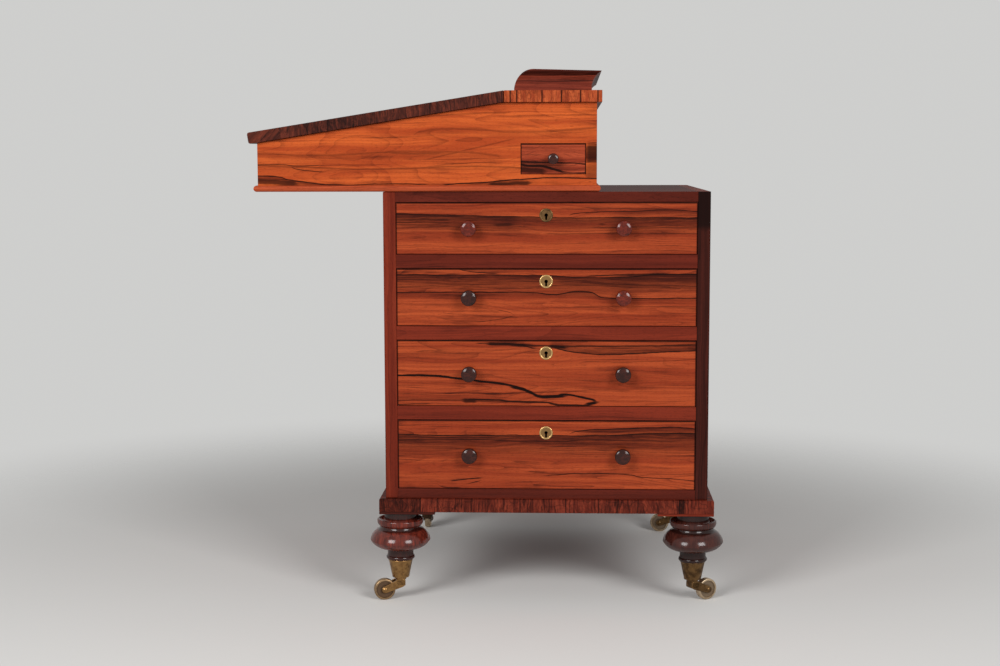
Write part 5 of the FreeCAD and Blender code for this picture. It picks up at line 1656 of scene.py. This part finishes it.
FIGURES: tuple[tuple[Streak, ...], ...] = (
    (
        Streak(((-256, 24.5), (-115, 20.2), (-10, 17.9), (35, 16.8), (116, 17), (256, 17)), 1.1, 0.95, 36,
               1.0, -400, -40),
        Streak(((-256, 22.5), (-115, 18.2), (-10, 16.9), (35, 15.8), (116, 16), (256, 15)), 1.0, 0.5, 30,
               0.75, -80, 130),
        Streak(((-256, 24.5), (-115, 20.2), (-10, 17.9), (35, 16.8), (116, 17), (256, 17)), 1.1, 0.9, 32,
               0.95, 110, 400),
        Streak(((35, 16.8), (40, 21.7), (70, 25.3), (148, 27.2), (188, 28.4), (256, 25.3)), 1.1, 0.9, 11,
               0.8, 110, 400),
        Streak(((-85, 5.6), (-52, 5.6)), 4.0, 0.6),
        Streak(((82, 5.9), (95, 5.9)), 4.0, 0.6),
        Streak(((-3, -8.6), (256, -8.6)), 1.6, 0.45),
        Streak(((70, 1), (256, 1)), 1.6, 0.45),
        Streak(((-256, 14), (-150, 13)), 1.4, 0.6),
        Streak(((-256, 9.4), (-150, 9)), 1.4, 0.6),
        Streak(((-256, 5.6), (-150, 5)), 1.4, 0.5),
    ),
    (
        Streak(((-256, 36.2), (-180, 36), (-70, 35.3), (0, 34.5), (66, 32), (122, 32), (176, 36.4),
                (256, 37.2)), 1.3, 0.95, 34, 0.95),
        Streak(((60, 34), (140, 37), (256, 38)), 1.6, 0.9, 30, 1.0, 110, 400),
        Streak(((-256, 47), (-60, 46.5), (256, 47)), 1.6, 0.7),
        Streak(((-146, 46.7), (-115, 40.5), (-76, 37.2)), 1.2, 0.8, -8, 0.6),
        Streak(((-256, 8), (-120, 8), (-20, 7.5), (10, 5), (58, 9.5), (80, 4.3), (98, -1), (150, -1.4),
                (256, -1)), 1.5, 0.95, 12, 0.5),
        Streak(((-256, 16), (-150, 18), (-40, 15), (40, 20), (256, 17)), 1.4, 0.5),
        Streak(((-116, -39.6), (-68, -34.3), (-50.3, -29.1)), 0.8, 0.8),
        Streak(((-83, -20.5), (-62.5, -23), (-50.3, -29.1)), 0.8, 0.8),
        Streak(((40, -14.8), (256, -14.8)), 1.4, 0.4),
    ),
    (
        Streak(((-256, -4.8), (-191, -4), (-147, -7.5), (-112, -12.8), (-77, -16.3), (-42, -23.4),
                (-24.5, -30.2), (-7, -37.3), (14.7, -36.5), (32, -34), (54, -37.6), (73.5, -41.9),
                (84, -47)), 3.2, 1.0),
        Streak(((-60, -21), (-42, -24.4), (-24.5, -31.2), (-7, -38), (14.7, -37.5), (34, -36)), 4.6, 1.0),
        Streak(((60, -51), (86, -46)), 4.6, 1.0),
        Streak(((-252, -52), (-184.7, -49.6)), 1.6, 0.8),
        Streak(((-132.5, -42.6), (-111.5, -43), (-80.8, -43.7), (-59, -46), (-3, -47.2), (23, -51.5),
                (76, -51.5)), 2.6, 0.95),
        Streak(((-138, -44), (-108, -45)), 6.0, 0.9),
        Streak(((-115, 48.6), (-76, 48.6), (-15.5, 39.8)), 1.4, 0.9, -9, 0.9, -80, 400),
        Streak(((-256, -47), (-180, -44), (-60, -48)), 1.6, 0.6, -10, 0.45),
        Streak(((-98, 48), (-60, 46.5), (-26, 44)), 4.5, 0.95),
        Streak(((0, 44), (36, 42.5)), 5.0, 0.95),
        Streak(((7, 43.5), (35, 36.5), (75, 31.4), (101, 30.4), (153, 33), (256, 38.2)), 1.6, 0.9, -20, 0.85),
        Streak(((-60, 47), (60, 44), (256, 47)), 2.2, 0.8),
        Streak(((57, 19.5), (153, 19), (256, 26)), 1.2, 0.5),
        Streak(((75, 40), (140, 41)), 1.4, 0.6),
        Streak(((-209, 35.5), (-163, 35.5)), 1.2, 0.6),
    ),
    (
        Streak(((-252, 32), (-154, 31.3), (-74, 31.8), (-11, 31.8), (37, 31.2), (118, 32.8), (188, 36.4),
                (256, 35.6)), 1.3, 0.95, 44, 0.95),
        Streak(((-256, 22), (-100, 24), (-20, 21), (60, 25)), 1.6, 0.6),
        Streak(((37, 31.2), (49, 38.3), (75, 41), (153, 44.4), (205, 45.8), (252, 41)), 1.4, 0.9, 16, 0.9,
               60, 400),
        Streak(((-175.7, -48.8), (-163.5, -54.2), (-135.6, -54.2)), 1.4, 0.8),
        Streak(((-156.5, -43.4), (-102.5, -38)), 2.0, 0.9),
        Streak(((-128.6, -48.8), (-104, -42.6)), 1.6, 0.8),
        Streak(((-3, -34), (75, -30.2), (135, -32), (153, -35.6), (205, -38.3), (256, -44.5)), 1.4, 0.85),
        Streak(((-33, -28.2), (3, -28.2)), 1.6, 0.7),
    ),
)

BOX_FIGURE: tuple[Streak, ...] = (
    Streak(((-285, -29), (-232, -27), (-209, -29), (-166, -27.5)), 1.3, 0.8),
    Streak(((-219, -29), (-203.6, -35), (-188, -37), (-160, -38.5)), 1.3, 0.8),
    Streak(((-285, -44.5), (-238, -46.5), (-219, -51.5), (-188, -55), (-150, -59), (-85, -58), (5, -59)),
           1.6, 0.9, 14, 0.9, -400, -120),
    Streak(((22, -59.8), (83.6, -56), (131.6, -52), (170, -49.5), (208.6, -48.5), (285, -50.5)), 1.6, 0.95,
           9, 0.95, 70, 165),
    Streak(((-285, -27), (-190, -31), (-60, -34), (60, -30), (160, -33)), 2.4, 0.4, 10, 0.35),
    Streak(((-20, 20), (60, 30), (130, 24), (270, 30)), 2.6, 0.3, 12, 0.25),
    Streak(((-2.5, -19.6), (74.4, -2.2), (139.7, 13)), 2.0, 0.35),
    Streak(((-2.5, -31), (55, -25.5), (113, -23.5)), 2.0, 0.35),
    Streak(((-2.5, 47.5), (74.5, 52.5), (132, 53.5)), 2.0, 0.35),
    Streak(((-285, -8), (-160, -12), (-20, -6), (120, -14)), 2.6, 0.3, 18, 0.3),
    Streak(((-290, -52), (-250, -54), (-205, -58)), 8.0, 0.75),
    Streak(((96, -59.5), (168, -56)), 5.0, 0.85),
    Streak(((-60, -8), (-20, -10), (30, -8)), 3.0, 0.35),
    Streak(((249, -10), (290, -10)), 28.0, 0.9),
    Streak(((249, -38), (290, -38)), 22.0, 0.5),
)

PEN_FIGURE: tuple[Streak, ...] = (
    Streak(((-62, -4), (-30, -5), (7.8, -5.9), (62, -8.7)), 1.6, 0.95, 22, 0.95, -400, 20),
    Streak(((-2, -13.5), (17.3, -21), (62, -22)), 1.2, 0.8),
    Streak(((-62, -7), (-40, -10.5), (-18, -12), (2, -17), (20, -23)), 3.6, 0.95),
    Streak(((-60, -17), (-32, -19), (-10, -20.5)), 8.0, 0.8),
)

SHAM_FIGURES: tuple[tuple[Streak, ...], ...] = (
    (
        Streak(((-256, -12), (-150, -9), (-60, -14), (40, -11), (130, -17), (256, -15)), 1.6, 0.95, 12, 0.7),
        Streak(((-256, 28), (-120, 31), (10, 27), (120, 33), (256, 30)), 1.2, 0.9, -9, 0.6),
        Streak(((20, 4), (120, 8), (256, 5)), 1.4, 0.6),
    ),
    (
        Streak(((-256, 16), (-160, 20), (-70, 14), (30, 19), (140, 12), (256, 15)), 1.4, 0.95, 22, 0.75,
               -400, 60),
        Streak(((-90, -26), (10, -21), (110, -28), (256, -24)), 1.8, 0.85, 6, 0.5),
        Streak(((-256, -6), (-140, -2), (-60, -7)), 1.3, 0.6),
    ),
)

# Faint veins of the end panels' outer faces.
END_FIGURE: tuple[Streak, ...] = (
    Streak(((-280, -196), (-60, -190), (120, -197), (280, -193)), 1.4, 0.8, -40, 0.3),
    Streak(((-280, -150), (-130, -154), (10, -149)), 1.2, 0.6),
    Streak(((-60, -96), (90, -91), (280, -97)), 1.3, 0.7),
    Streak(((-280, -52), (-130, -58), (60, -50), (280, -55)), 1.6, 0.85, 46, 0.3),
    Streak(((-280, -44), (-120, -49), (20, -43)), 1.1, 0.7),
    Streak(((40, 30), (150, 35), (280, 31)), 1.8, 0.7),
    Streak(((-280, 92), (-80, 88), (110, 95), (280, 91)), 1.4, 0.8, 60, 0.25),
    Streak(((-280, 104), (-180, 107), (-70, 102)), 1.1, 0.6),
    Streak(((-190, 178), (-40, 184), (90, 179)), 2.0, 0.6),
)

# Painted shade: the black patch at the top of the dark stile.
STILE_TOP_SHADE = Streak(((187, 0), (262, 0)), 34.0, 0.92)

# Veins of the gallery, and painted shade that darkens the upper part of its cove, which faces down under the
# rim.
GALLERY_FIGURE_AND_SHADE: tuple[Streak, ...] = (
    Streak(((-140, 7.5), (0, 7.0), (140, 6.5)), 1.0, 0.7, -14, 1.0),
    Streak(((-140, 12.5), (0, 12.0), (140, 11.5)), 5.0, 0.45),
    Streak(((-140, -1.0), (0, -2.0), (140, -1.5)), 1.2, 0.6),
)


# ---- the slope box ---------------------------------------------------------------------------------
@dataclass(frozen=True)
class Gallery:
    """A coved gallery on three sides of the flat top, rounded in front and falling a little to the back.

    Its section stands on a fillet. Outside, a cove runs out to the top edge; inside, the wall follows it.
    """

    height: float = 34.0
    flare: float = 15.0
    fillet: float = 4.4
    thickness: float = 8.0
    fall: float = 4.0
    nose: float = 31.0

    def section(self, outer_top: float, inner_top: float) -> np.ndarray:
        """The closed section (outward, height), cut off at a height outside and at another inside.

        Both faces are the same curve of height for any cut, so that strips of different heights share them.
        """
        outer = Profile(0, 0).to((0, self.fillet), (-0.8, self.fillet + 0.3))
        outer.arc((self.flare * 0.24, self.height * 0.56), (self.flare, self.height - 4.0), 14)
        outer.to((self.flare + 0.2, self.height))
        inner = Profile(-self.thickness, 0).to((-self.thickness, self.height * 0.36))
        inner.arc((-self.thickness + self.flare * 0.3, self.height * 0.66), (self.flare - 9.0, self.height),
                  12)
        outer_curve, inner_curve = outer.points(), inner.points()
        share = np.linspace(0.0, 1.0, 22)
        rise, drop = outer_top * share, inner_top * share[::-1]
        return np.vstack([np.column_stack([np.interp(rise, outer_curve[:, 1], outer_curve[:, 0]), rise]),
                          np.column_stack([np.interp(drop, inner_curve[:, 1], inner_curve[:, 0]), drop])])

    def strips(self, start: float, back: float, near: float, far: float, base: float) -> list[Shape]:
        """The near, back and far strips.

        The near strip's section rises by nose sin t and goes back by nose (1 - cos t), for t from 5 to 90
        degrees. From there its top falls evenly to the mitre, where each point goes back by its own outward
        distance. The far strip is its mirror, and the back strip joins the two mitres.

        Args:
            start: where the front ends are.
            back: the back strip's face.
            near: the near strip's face.
            far: the far strip's face.
            base: the level of the flat top.

        Returns:
            The three strips.
        """
        reach = back + self.flare + 1.0 - start

        def top(x: float) -> float:
            """The height at a place, by the even fall."""
            return self.height - self.fall * (x - start) / reach

        turn = np.radians(np.linspace(5.0, 90.0, 12))
        shoulder = top(start + self.nose)
        end = self.section(top(back + self.flare), top(back + 4.0))
        places = [start + self.nose * (1 - math.cos(t)) for t in turn]
        sections = [self.section(shoulder * math.sin(t), shoulder * math.sin(t)) for t in turn]
        shapes = []
        for face, way in ((near, -1.0), (far, 1.0)):
            rows = [np.column_stack([np.full(len(part), x), face + way * part[:, 0], base + part[:, 1]])
                    for x, part in zip(places, sections)]
            rows.append(np.column_stack([back + end[:, 0], face + way * end[:, 0], base + end[:, 1]]))
            shapes.append(capped(np.stack(rows)))
        rows = [np.column_stack([back + end[:, 0], face + way * end[:, 0], base + end[:, 1]])
                for face, way in ((near, -1.0), (far, 1.0))]
        return [shapes[0], capped(np.stack(rows)), shapes[1]]


@dataclass
class SlopeBox(Assembly):
    """The sliding box: four boards, base moulding, flat top, gallery, interior and keepers."""

    arris: float = 0.8
    slope: float = 9.05
    opening_gap: float = 0.5
    hinge_gap: float = 0.5
    edging: float = 4.0
    moulding: float = 6.0
    key_drop: float = 21.0
    pen_knob: Knob = Knob(8.6, 15.0, 3.44, 12.0)
    inner_knob: Knob = Knob(5.5, 11.0, 2.2, 7.0)
    key_plate: KeyPlate = KeyPlate()
    lock: BoxLock = BoxLock()

    def build(self) -> None:
        """Makes and dresses the box."""
        self.near_side()
        self.boards()
        self.mouldings()
        self.pen_drawer()
        self.inner_drawers()
        self.lid_lock()

    def near_side(self) -> None:
        """The near side, tapered to the lid's slope and cut out for the pen drawer."""
        box = Box.of("box_near_side")
        pen = Box.of("pen_drawer_front")
        low = (pen.low[0] - self.opening_gap, pen.low[2] - self.opening_gap)
        high = (pen.high[0] + self.opening_gap, pen.high[2] + self.opening_gap)
        centre = np.array([(low[0] + high[0]) / 2, (low[1] + high[1]) / 2])
        hinge = Box.of("lid_board").high[0] + self.hinge_gap
        front_top = box.high[2] - (hinge - box.low[0]) * math.tan(math.radians(self.slope))
        outline = np.array([(box.low[0], box.low[2]), (box.high[0], box.low[2]), (box.high[0], box.high[2]),
                            (hinge, box.high[2]), (box.low[0], front_top)]) - centre
        hole = Outline.rectangle(tuple(low - centre), tuple(high - centre))
        rings = [(hole, 0.0), *eased(partial(Outline.polygon, outline), self.arris),
                 (Outline.polygon(outline), -box.size[1]), (hole, -box.size[1])]
        shape = pierced(rings, (centre[0], box.low[1], centre[1]), Axis.TO_NEAR, 8)
        middle = (box.centre[0], box.low[1], box.centre[2])
        material = self.palette.box_side.material("box_near_side", middle, Grain.ALONG_X, 101.0, BOX_FIGURE)
        self.bench.piece("box_near_side_board", shape, material, "box_near_side")

    def boards(self) -> None:
        """The other boards, the flat top, the interior and the brass."""
        plain = (
            ("box_far_side", self.palette.box_side, Grain.ALONG_X, 104.0),
            ("box_front", self.palette.box_side, Grain.ALONG_Y, 107.0),
            ("box_back", self.palette.box_side, Grain.ALONG_Y, 109.0),
            ("box_bottom", self.palette.lining, Grain.ALONG_Y_FLAT, 110.0),
            ("pen_drawer_case", self.palette.lining, Grain.ALONG_Y_FLAT, 118.0),
            ("inner_division", self.palette.lining, Grain.ALONG_X, 119.0),
        )
        for node, wood, grain, seed in plain:
            self.bench.dress(node, wood.material(node, Box.of(node).centre, grain, seed))
        self.flat_top()
        for node in ("lid_hinge_fixed_leaves", "top_keepers"):
            metal = self.palette.brass.material(node, Box.of(node).centre, Grain.ALONG_Y, 124.0)
            self.bench.dress(node, metal)

    def flat_top(self) -> None:
        """The flat top: a board with its grain along it, and a cross-banded edging at either end."""
        node = "flat_top"
        box = Box.of(node)
        edging = self.edging
        inner = Box((box.low[0], box.low[1] + edging, box.low[2]),
                    (box.high[0], box.high[1] - edging, box.high[2]))
        material = self.palette.top_board.material("flat_top_board", box.centre, Grain.ALONG_Y_FLAT, 123.0)
        self.bench.piece("flat_top_board", board(inner, 0.3), material, node)
        material = self.palette.top_band.material("flat_top_edging", (0.0, box.centre[1], box.centre[2]),
                                                  Grain.BANDED_X, 121.0, joints=TOP_JOINTS)
        for name, low, high in (("near", box.low[1], inner.low[1]), ("far", inner.high[1], box.high[1])):
            strip = Box((box.low[0], low, box.low[2]), (box.high[0], high, box.high[2]))
            self.bench.piece(f"flat_top_{name}_edging", board(strip, 1.0), material, node)

    def mouldings(self) -> None:
        """The base moulding's half round strips and the gallery."""
        box = Box.of("box_base_moulding")
        out, low, high = self.moulding, box.low[2], box.high[2]
        section = Profile(0.0, low).to((2.0, low)).arc((out, low + (high - low) / 2), (2.0, high), 12)
        section.to((0.0, high))
        strips = mitred_strips(section.points(), (box.low[0] + out, box.low[1] + out),
                               (box.high[0] - out, box.high[1] - out))
        for strip, name, seed in zip(strips, ("near", "back", "far", "sitter"), (113.0, 213.0, 313.0, 413.0)):
            grain = Grain.ALONG_X if name in ("near", "far") else Grain.ALONG_Y
            material = self.palette.moulding.material(f"moulding_{name}", box.centre, grain, seed)
            self.bench.piece(f"base_moulding_{name}", strip, material, "box_base_moulding")
        box, flat = Box.of("gallery"), Box.of("flat_top")
        gallery = Gallery()
        out = gallery.flare + 0.2
        strips = gallery.strips(box.low[0], box.high[0] - out, box.low[1] + out, box.high[1] - out,
                                flat.high[2])
        for strip, name, seed in zip(strips, ("near", "back", "far"), (115.0, 215.0, 315.0)):
            grain = Grain.ALONG_Y if name == "back" else Grain.ALONG_X
            # The gallery's finish carries painted shade over the upper part of its cove.
            material = self.palette.gallery.material(f"gallery_{name}", box.centre, grain, seed,
                                                     GALLERY_FIGURE_AND_SHADE)
            self.bench.piece(f"gallery_{name}", strip, material, "gallery")

    def pen_drawer(self) -> None:
        """The pen drawer's front, knob and box."""
        node = "pen_drawer_front"
        box = Box.of(node)
        middle = (box.centre[0], box.low[1], box.centre[2])
        half = (box.size[0] / 2, box.size[2] / 2)
        material = self.palette.pen_front.material(node, middle, Grain.ALONG_X, 131.0, PEN_FIGURE, edges=half)
        self.bench.piece("pen_drawer_face", board(box, 0.6), material, node)
        material = self.palette.knob.material("pen_knob", middle, Grain.ALONG_Y, 133.0)
        self.bench.piece("pen_drawer_pull", self.pen_knob.shape(middle, Axis.TO_NEAR), material,
                         "pen_drawer_knob")
        node = "pen_drawer_box"
        inside = Box.of(node)
        low, high = inside.low, inside.high
        boards = DrawerBox(inside.size[0] / 2, low[1], low[1], high[1], low[2], high[2],
                           floor=low[2] + 1.0, back_high=high[2] - 1.0, side=6.0, back=6.0, bottom=3.0)
        for name, shape, grain, seed in (
                ("sides", joined(boards.plain_sides()), Grain.ALONG_Y, 135.0),
                ("back", boards.back_board(), Grain.ALONG_X, 136.0),
                ("bottom", boards.bottom_board(), Grain.ALONG_X_FLAT, 138.0)):
            material = self.palette.lining.material(f"{node}_{name}", inside.centre, grain, seed)
            self.bench.piece(f"{node}_{name}", shape.moved(x=inside.centre[0]), material, node)

    def inner_drawers(self) -> None:
        """The two little drawers inside, which face the sitter."""
        for node, seed in (("inner_drawer_left", 137.0), ("inner_drawer_right", 139.0)):
            box = Box.of(node)
            face, half = box.low[0] + self.inner_knob.out, box.size[1] / 2
            front, length, low, high = 9.0, box.size[0] - self.inner_knob.out, box.low[2], box.high[2]
            boards = DrawerBox(half, front, front, length, low, high - 2.5, floor=low + 1.0,
                               back_high=high - 3.5, side=5.0, back=5.0, bottom=3.0)
            face_board = board(Box((-half, 0.0, low + 0.1), (half, front, high)), 0.5)
            pull = self.inner_knob.shape((0.0, 0.0, low + 22.1), Axis.TO_NEAR)
            for name, shape, wood, grain in (
                    ("face", face_board, self.palette.pen_front, Grain.ALONG_Y),
                    ("pull", pull, self.palette.knob, Grain.ALONG_X),
                    ("sides", joined(boards.plain_sides()), self.palette.lining, Grain.ALONG_X),
                    ("back", boards.back_board(), self.palette.lining, Grain.ALONG_Y),
                    ("bottom", boards.bottom_board(), self.palette.lining, Grain.ALONG_Y_FLAT)):
                material = wood.material(f"{node}_{name}", box.centre, grain, seed)
                placed = shape.turned(-90.0).moved(face, box.centre[1])
                self.bench.piece(f"{node}_{name}", placed, material, node)

    def lid_lock(self) -> None:
        """The lid's lock and its keyhole plate in the box's front."""
        box, node = Box.of("lid_lock"), "lid_lock"
        face = Box.of("box_front")
        place = (face.low[0], box.centre[1], face.high[2] - self.key_drop)
        metal = self.palette.plate_brass.material("lid_key_plate", place, Grain.ALONG_Y, 4.0)
        self.bench.piece("lid_key_plate", self.key_plate.shape(place, Axis.TO_SITTER), metal, node)
        metal = self.palette.brass.material("lid_box_lock", place, Grain.ALONG_Y, 5.0)
        self.bench.piece("lid_box_lock", self.lock.shape(place, Axis.TO_SITTER, face.size[0]), metal, node)


TOP_JOINTS = Joints(width=1.4, tone=0.5, places=(203.5, 213.8, 253.5, 284.0, 314.0, 341.0))


@dataclass
class Lid(Assembly):
    """The sloping lid: a core under the leather, with cross-banded borders, the front one with a nose."""

    slope: float = 9.05
    thickness: float = 18.0
    nose: float = 3.6
    tip: float = 0.6
    leather: float = 1.2
    margin: float = 52.0
    hinge_margin: float = 39.5
    arris: float = 0.7

    def build(self) -> None:
        """Makes the lid's boards and dresses its leather and hinge leaves.

        The boards are made level, with u up the slope from the nose, and are then tipped by the slope about
        the nose's upper edge.
        """
        box, hide = Box.of("lid_board"), Box.of("lid_leather")
        c, t = math.cos(math.radians(self.slope)), math.tan(math.radians(self.slope))
        nose_x = hide.low[0] - self.margin
        origin = (nose_x, 0.0, hide.high[2] - (hide.high[0] - nose_x) * t)
        back = (box.high[0] - nose_x) / c
        bed_low, bed_high = self.margin / c, back - self.hinge_margin / c
        near, far = box.low[1], box.high[1]
        inner_near, inner_far = hide.low[1], hide.high[1]
        low, r, tip = -self.thickness, self.nose, self.tip
        front = Profile(bed_low, 0).to((bed_low, low), (tip + r, low))
        front.arc((tip + r * 0.293, low + r * 0.293), (tip, low + r), 8)
        front.to((tip, -r)).arc((tip + r * 0.293, -r * 0.293), (tip + r, 0), 8)
        side = np.array([(bed_low, 0.0), (bed_low, low), (back + low * t, low), (back, 0.0)])
        rear = np.array([(bed_high, 0.0), (bed_high, low), (back + low * t, low), (back, 0.0)])
        pieces = (
            ("lid_front_band", front.points(), near, far, Grain.BANDED_Y, 141.0, FRONT_BAND),
            ("lid_near_band", side, near, inner_near, Grain.BANDED_X, 142.0, LID_JOINTS),
            ("lid_far_band", side, inner_far, far, Grain.BANDED_X, 145.0, LID_JOINTS),
            ("lid_back_band", rear, inner_near, inner_far, Grain.BANDED_Y, 147.0, FRONT_BAND),
        )
        for name, outline, low_y, high_y, grain, seed, joints in pieces:
            shape = plate(outline, -high_y, -low_y, Axis.TO_NEAR, self.arris).tilted(self.slope, origin)
            material = self.palette.lid_edge.material(name, box.centre, grain, seed, joints=joints)
            self.bench.piece(name, shape, material, "lid_board")
        core = board(Box((bed_low, inner_near, low), (bed_high, inner_far, -self.leather)), 0.3)
        wood = self.palette.core.material("lid_core", box.centre, Grain.ALONG_Y_FLAT, 149.0)
        self.bench.piece("lid_core", core.tilted(self.slope, origin), wood, "lid_board")
        node = "lid_leather"
        half = (hide.size[0] / 2, hide.size[1] / 2)
        self.bench.dress(node, self.palette.leather.material(node, hide.centre, half))
        node = "lid_hinge_moving_leaves"
        self.bench.dress(node, self.palette.brass.material(node, Box.of(node).centre, Grain.ALONG_Y, 6.0))


LID_JOINTS = Joints(pitch=54.0, shift=11.0, width=0.8, tone=0.9)
FRONT_BAND = Joints(pitch=58.0, shift=23.0, width=0.7, tone=0.7)


# ---- floor, lights and camera ----------------------------------------------------------------------
@dataclass
class Studio:
    """A pale floor that fades into a pale surround, two soft lamps and the camera."""

    surround: Colour = (0.62, 0.62, 0.61, 1.0)
    fill: float = 0.28
    floor: Colour = (0.78, 0.77, 0.75, 1.0)
    floor_reach: float = 9.0
    fade: Pair = (0.62, 1.7)
    lamps: tuple[Triple, ...] = ((1932.0, -2300.0, 1570.0), (-1412.0, -2300.0, 1570.0))
    lamp_size: float = 1.2
    lamp_power: float = 55.0
    eye: Triple = (297.3, -2559.6, 728.9)
    pitch: float = 6.374
    yaw: float = 2.485
    roll: float = -0.143
    sensor: float = 36.0
    focal_pixels: float = 1609.8
    image_width: float = 1000.0

    def build(self) -> None:
        """Sets up everything round the desk."""
        bpy.context.scene.view_settings.view_transform = "Standard"
        self.make_world()
        self.make_floor()
        self.make_lamps()
        self.make_camera()

    def make_world(self) -> None:
        """An even fill light that the camera and glossy surfaces see as the pale surround."""
        bpy.context.scene.world = bpy.data.worlds.new("surround")
        recipe = Recipe(bpy.context.scene.world)
        camera, glossy, clear = (recipe.node("ShaderNodeLightPath", out=ray)
                                 for ray in ("Is Camera Ray", "Is Glossy Ray", "Is Transmission Ray"))
        fill = recipe.node("ShaderNodeBackground", None, {"Color": WHITE, "Strength": self.fill})
        shown = recipe.node("ShaderNodeBackground", None, {"Color": self.surround, "Strength": 1.0})
        seen = camera.most(glossy).most(clear)
        recipe.close(recipe.node("ShaderNodeMixShader", None, {0: seen, 1: fill, 2: shown}))

    def make_floor(self) -> None:
        """A round matt floor, faded out far from the desk."""
        angle = np.arange(96) * 2 * math.pi / 96
        points = np.column_stack([np.cos(angle), np.sin(angle), 0 * angle]) * self.floor_reach
        mesh = bpy.data.meshes.new("floor")
        mesh.from_pydata(points.tolist(), [], [list(range(len(points)))])
        recipe = Recipe.named("floor")
        where = recipe.node("ShaderNodeTexCoord", out="Object")
        far = recipe.node("ShaderNodeVectorMath", {"operation": "LENGTH"}, {0: where}, "Value")
        cloud = recipe.node("ShaderNodeTexNoise", None, {"Vector": where, "Scale": 2.2, "Detail": 4.0})
        colour = recipe.blend((cloud - 0.4) * 0.35, self.floor,
                              tuple(0.9 * c for c in self.floor[:3]) + (1.0,))
        matt = recipe.node("ShaderNodeBsdfDiffuse", None, {"Color": colour})
        clear = recipe.node("ShaderNodeBsdfTransparent")
        mixed = recipe.node("ShaderNodeMixShader", None, {0: far.rise(*self.fade), 1: matt, 2: clear})
        mesh.materials.append(recipe.close(mixed))
        floor = bpy.data.objects.new("floor", mesh)
        bpy.context.scene.collection.objects.link(floor)

    def make_lamps(self) -> None:
        """Two square lamps, left and right of the camera, aimed at the desk."""
        low, high = CAD_BOX
        target = (low + high) / 2
        for number, place in enumerate(self.lamps, 1):
            light = bpy.data.lights.new(f"lamp_{number}", "AREA")
            light.size = self.lamp_size
            light.energy = self.lamp_power
            lamp = bpy.data.objects.new(f"lamp_{number}", light)
            lamp.location = Vector((np.array(place) + DATUM) * MM)
            lamp.rotation_euler = (target - lamp.location).to_track_quat("-Z", "Y").to_euler()
            bpy.context.scene.collection.objects.link(lamp)

    def make_camera(self) -> None:
        """The camera at standing distance, looking a little down at the drawer face."""
        pitch, yaw, roll = (math.radians(angle) for angle in (self.pitch, self.yaw, self.roll))
        ahead = Vector((-math.sin(yaw) * math.cos(pitch), math.cos(yaw) * math.cos(pitch), -math.sin(pitch)))
        right = ahead.cross(Vector((0, 0, 1))).normalized()
        above = right.cross(ahead)
        side = right * math.cos(roll) + above * math.sin(roll)
        top = above * math.cos(roll) - right * math.sin(roll)
        data = bpy.data.cameras.new("camera")
        data.sensor_width = self.sensor
        data.lens = self.focal_pixels * self.sensor / self.image_width
        camera = bpy.data.objects.new("camera", data)
        turn = Matrix((side, top, -ahead)).transposed().to_4x4()
        camera.matrix_world = Matrix.Translation(Vector((np.array(self.eye) + DATUM) * MM)) @ turn
        bpy.context.scene.collection.objects.link(camera)
        bpy.context.scene.camera = camera


def main() -> None:
    """Builds every sub-assembly in order."""
    logging.basicConfig(level=logging.INFO, format="%(name)s %(message)s")
    bench = Bench(Palette())
    Studio().build()
    for kind in (Case, Plinth, Feet, DrawerStack, SlopeBox, Lid):
        kind(bench).build()
        LOG.info("%s done", kind.__name__)


if __name__ == "__main__":
    main()
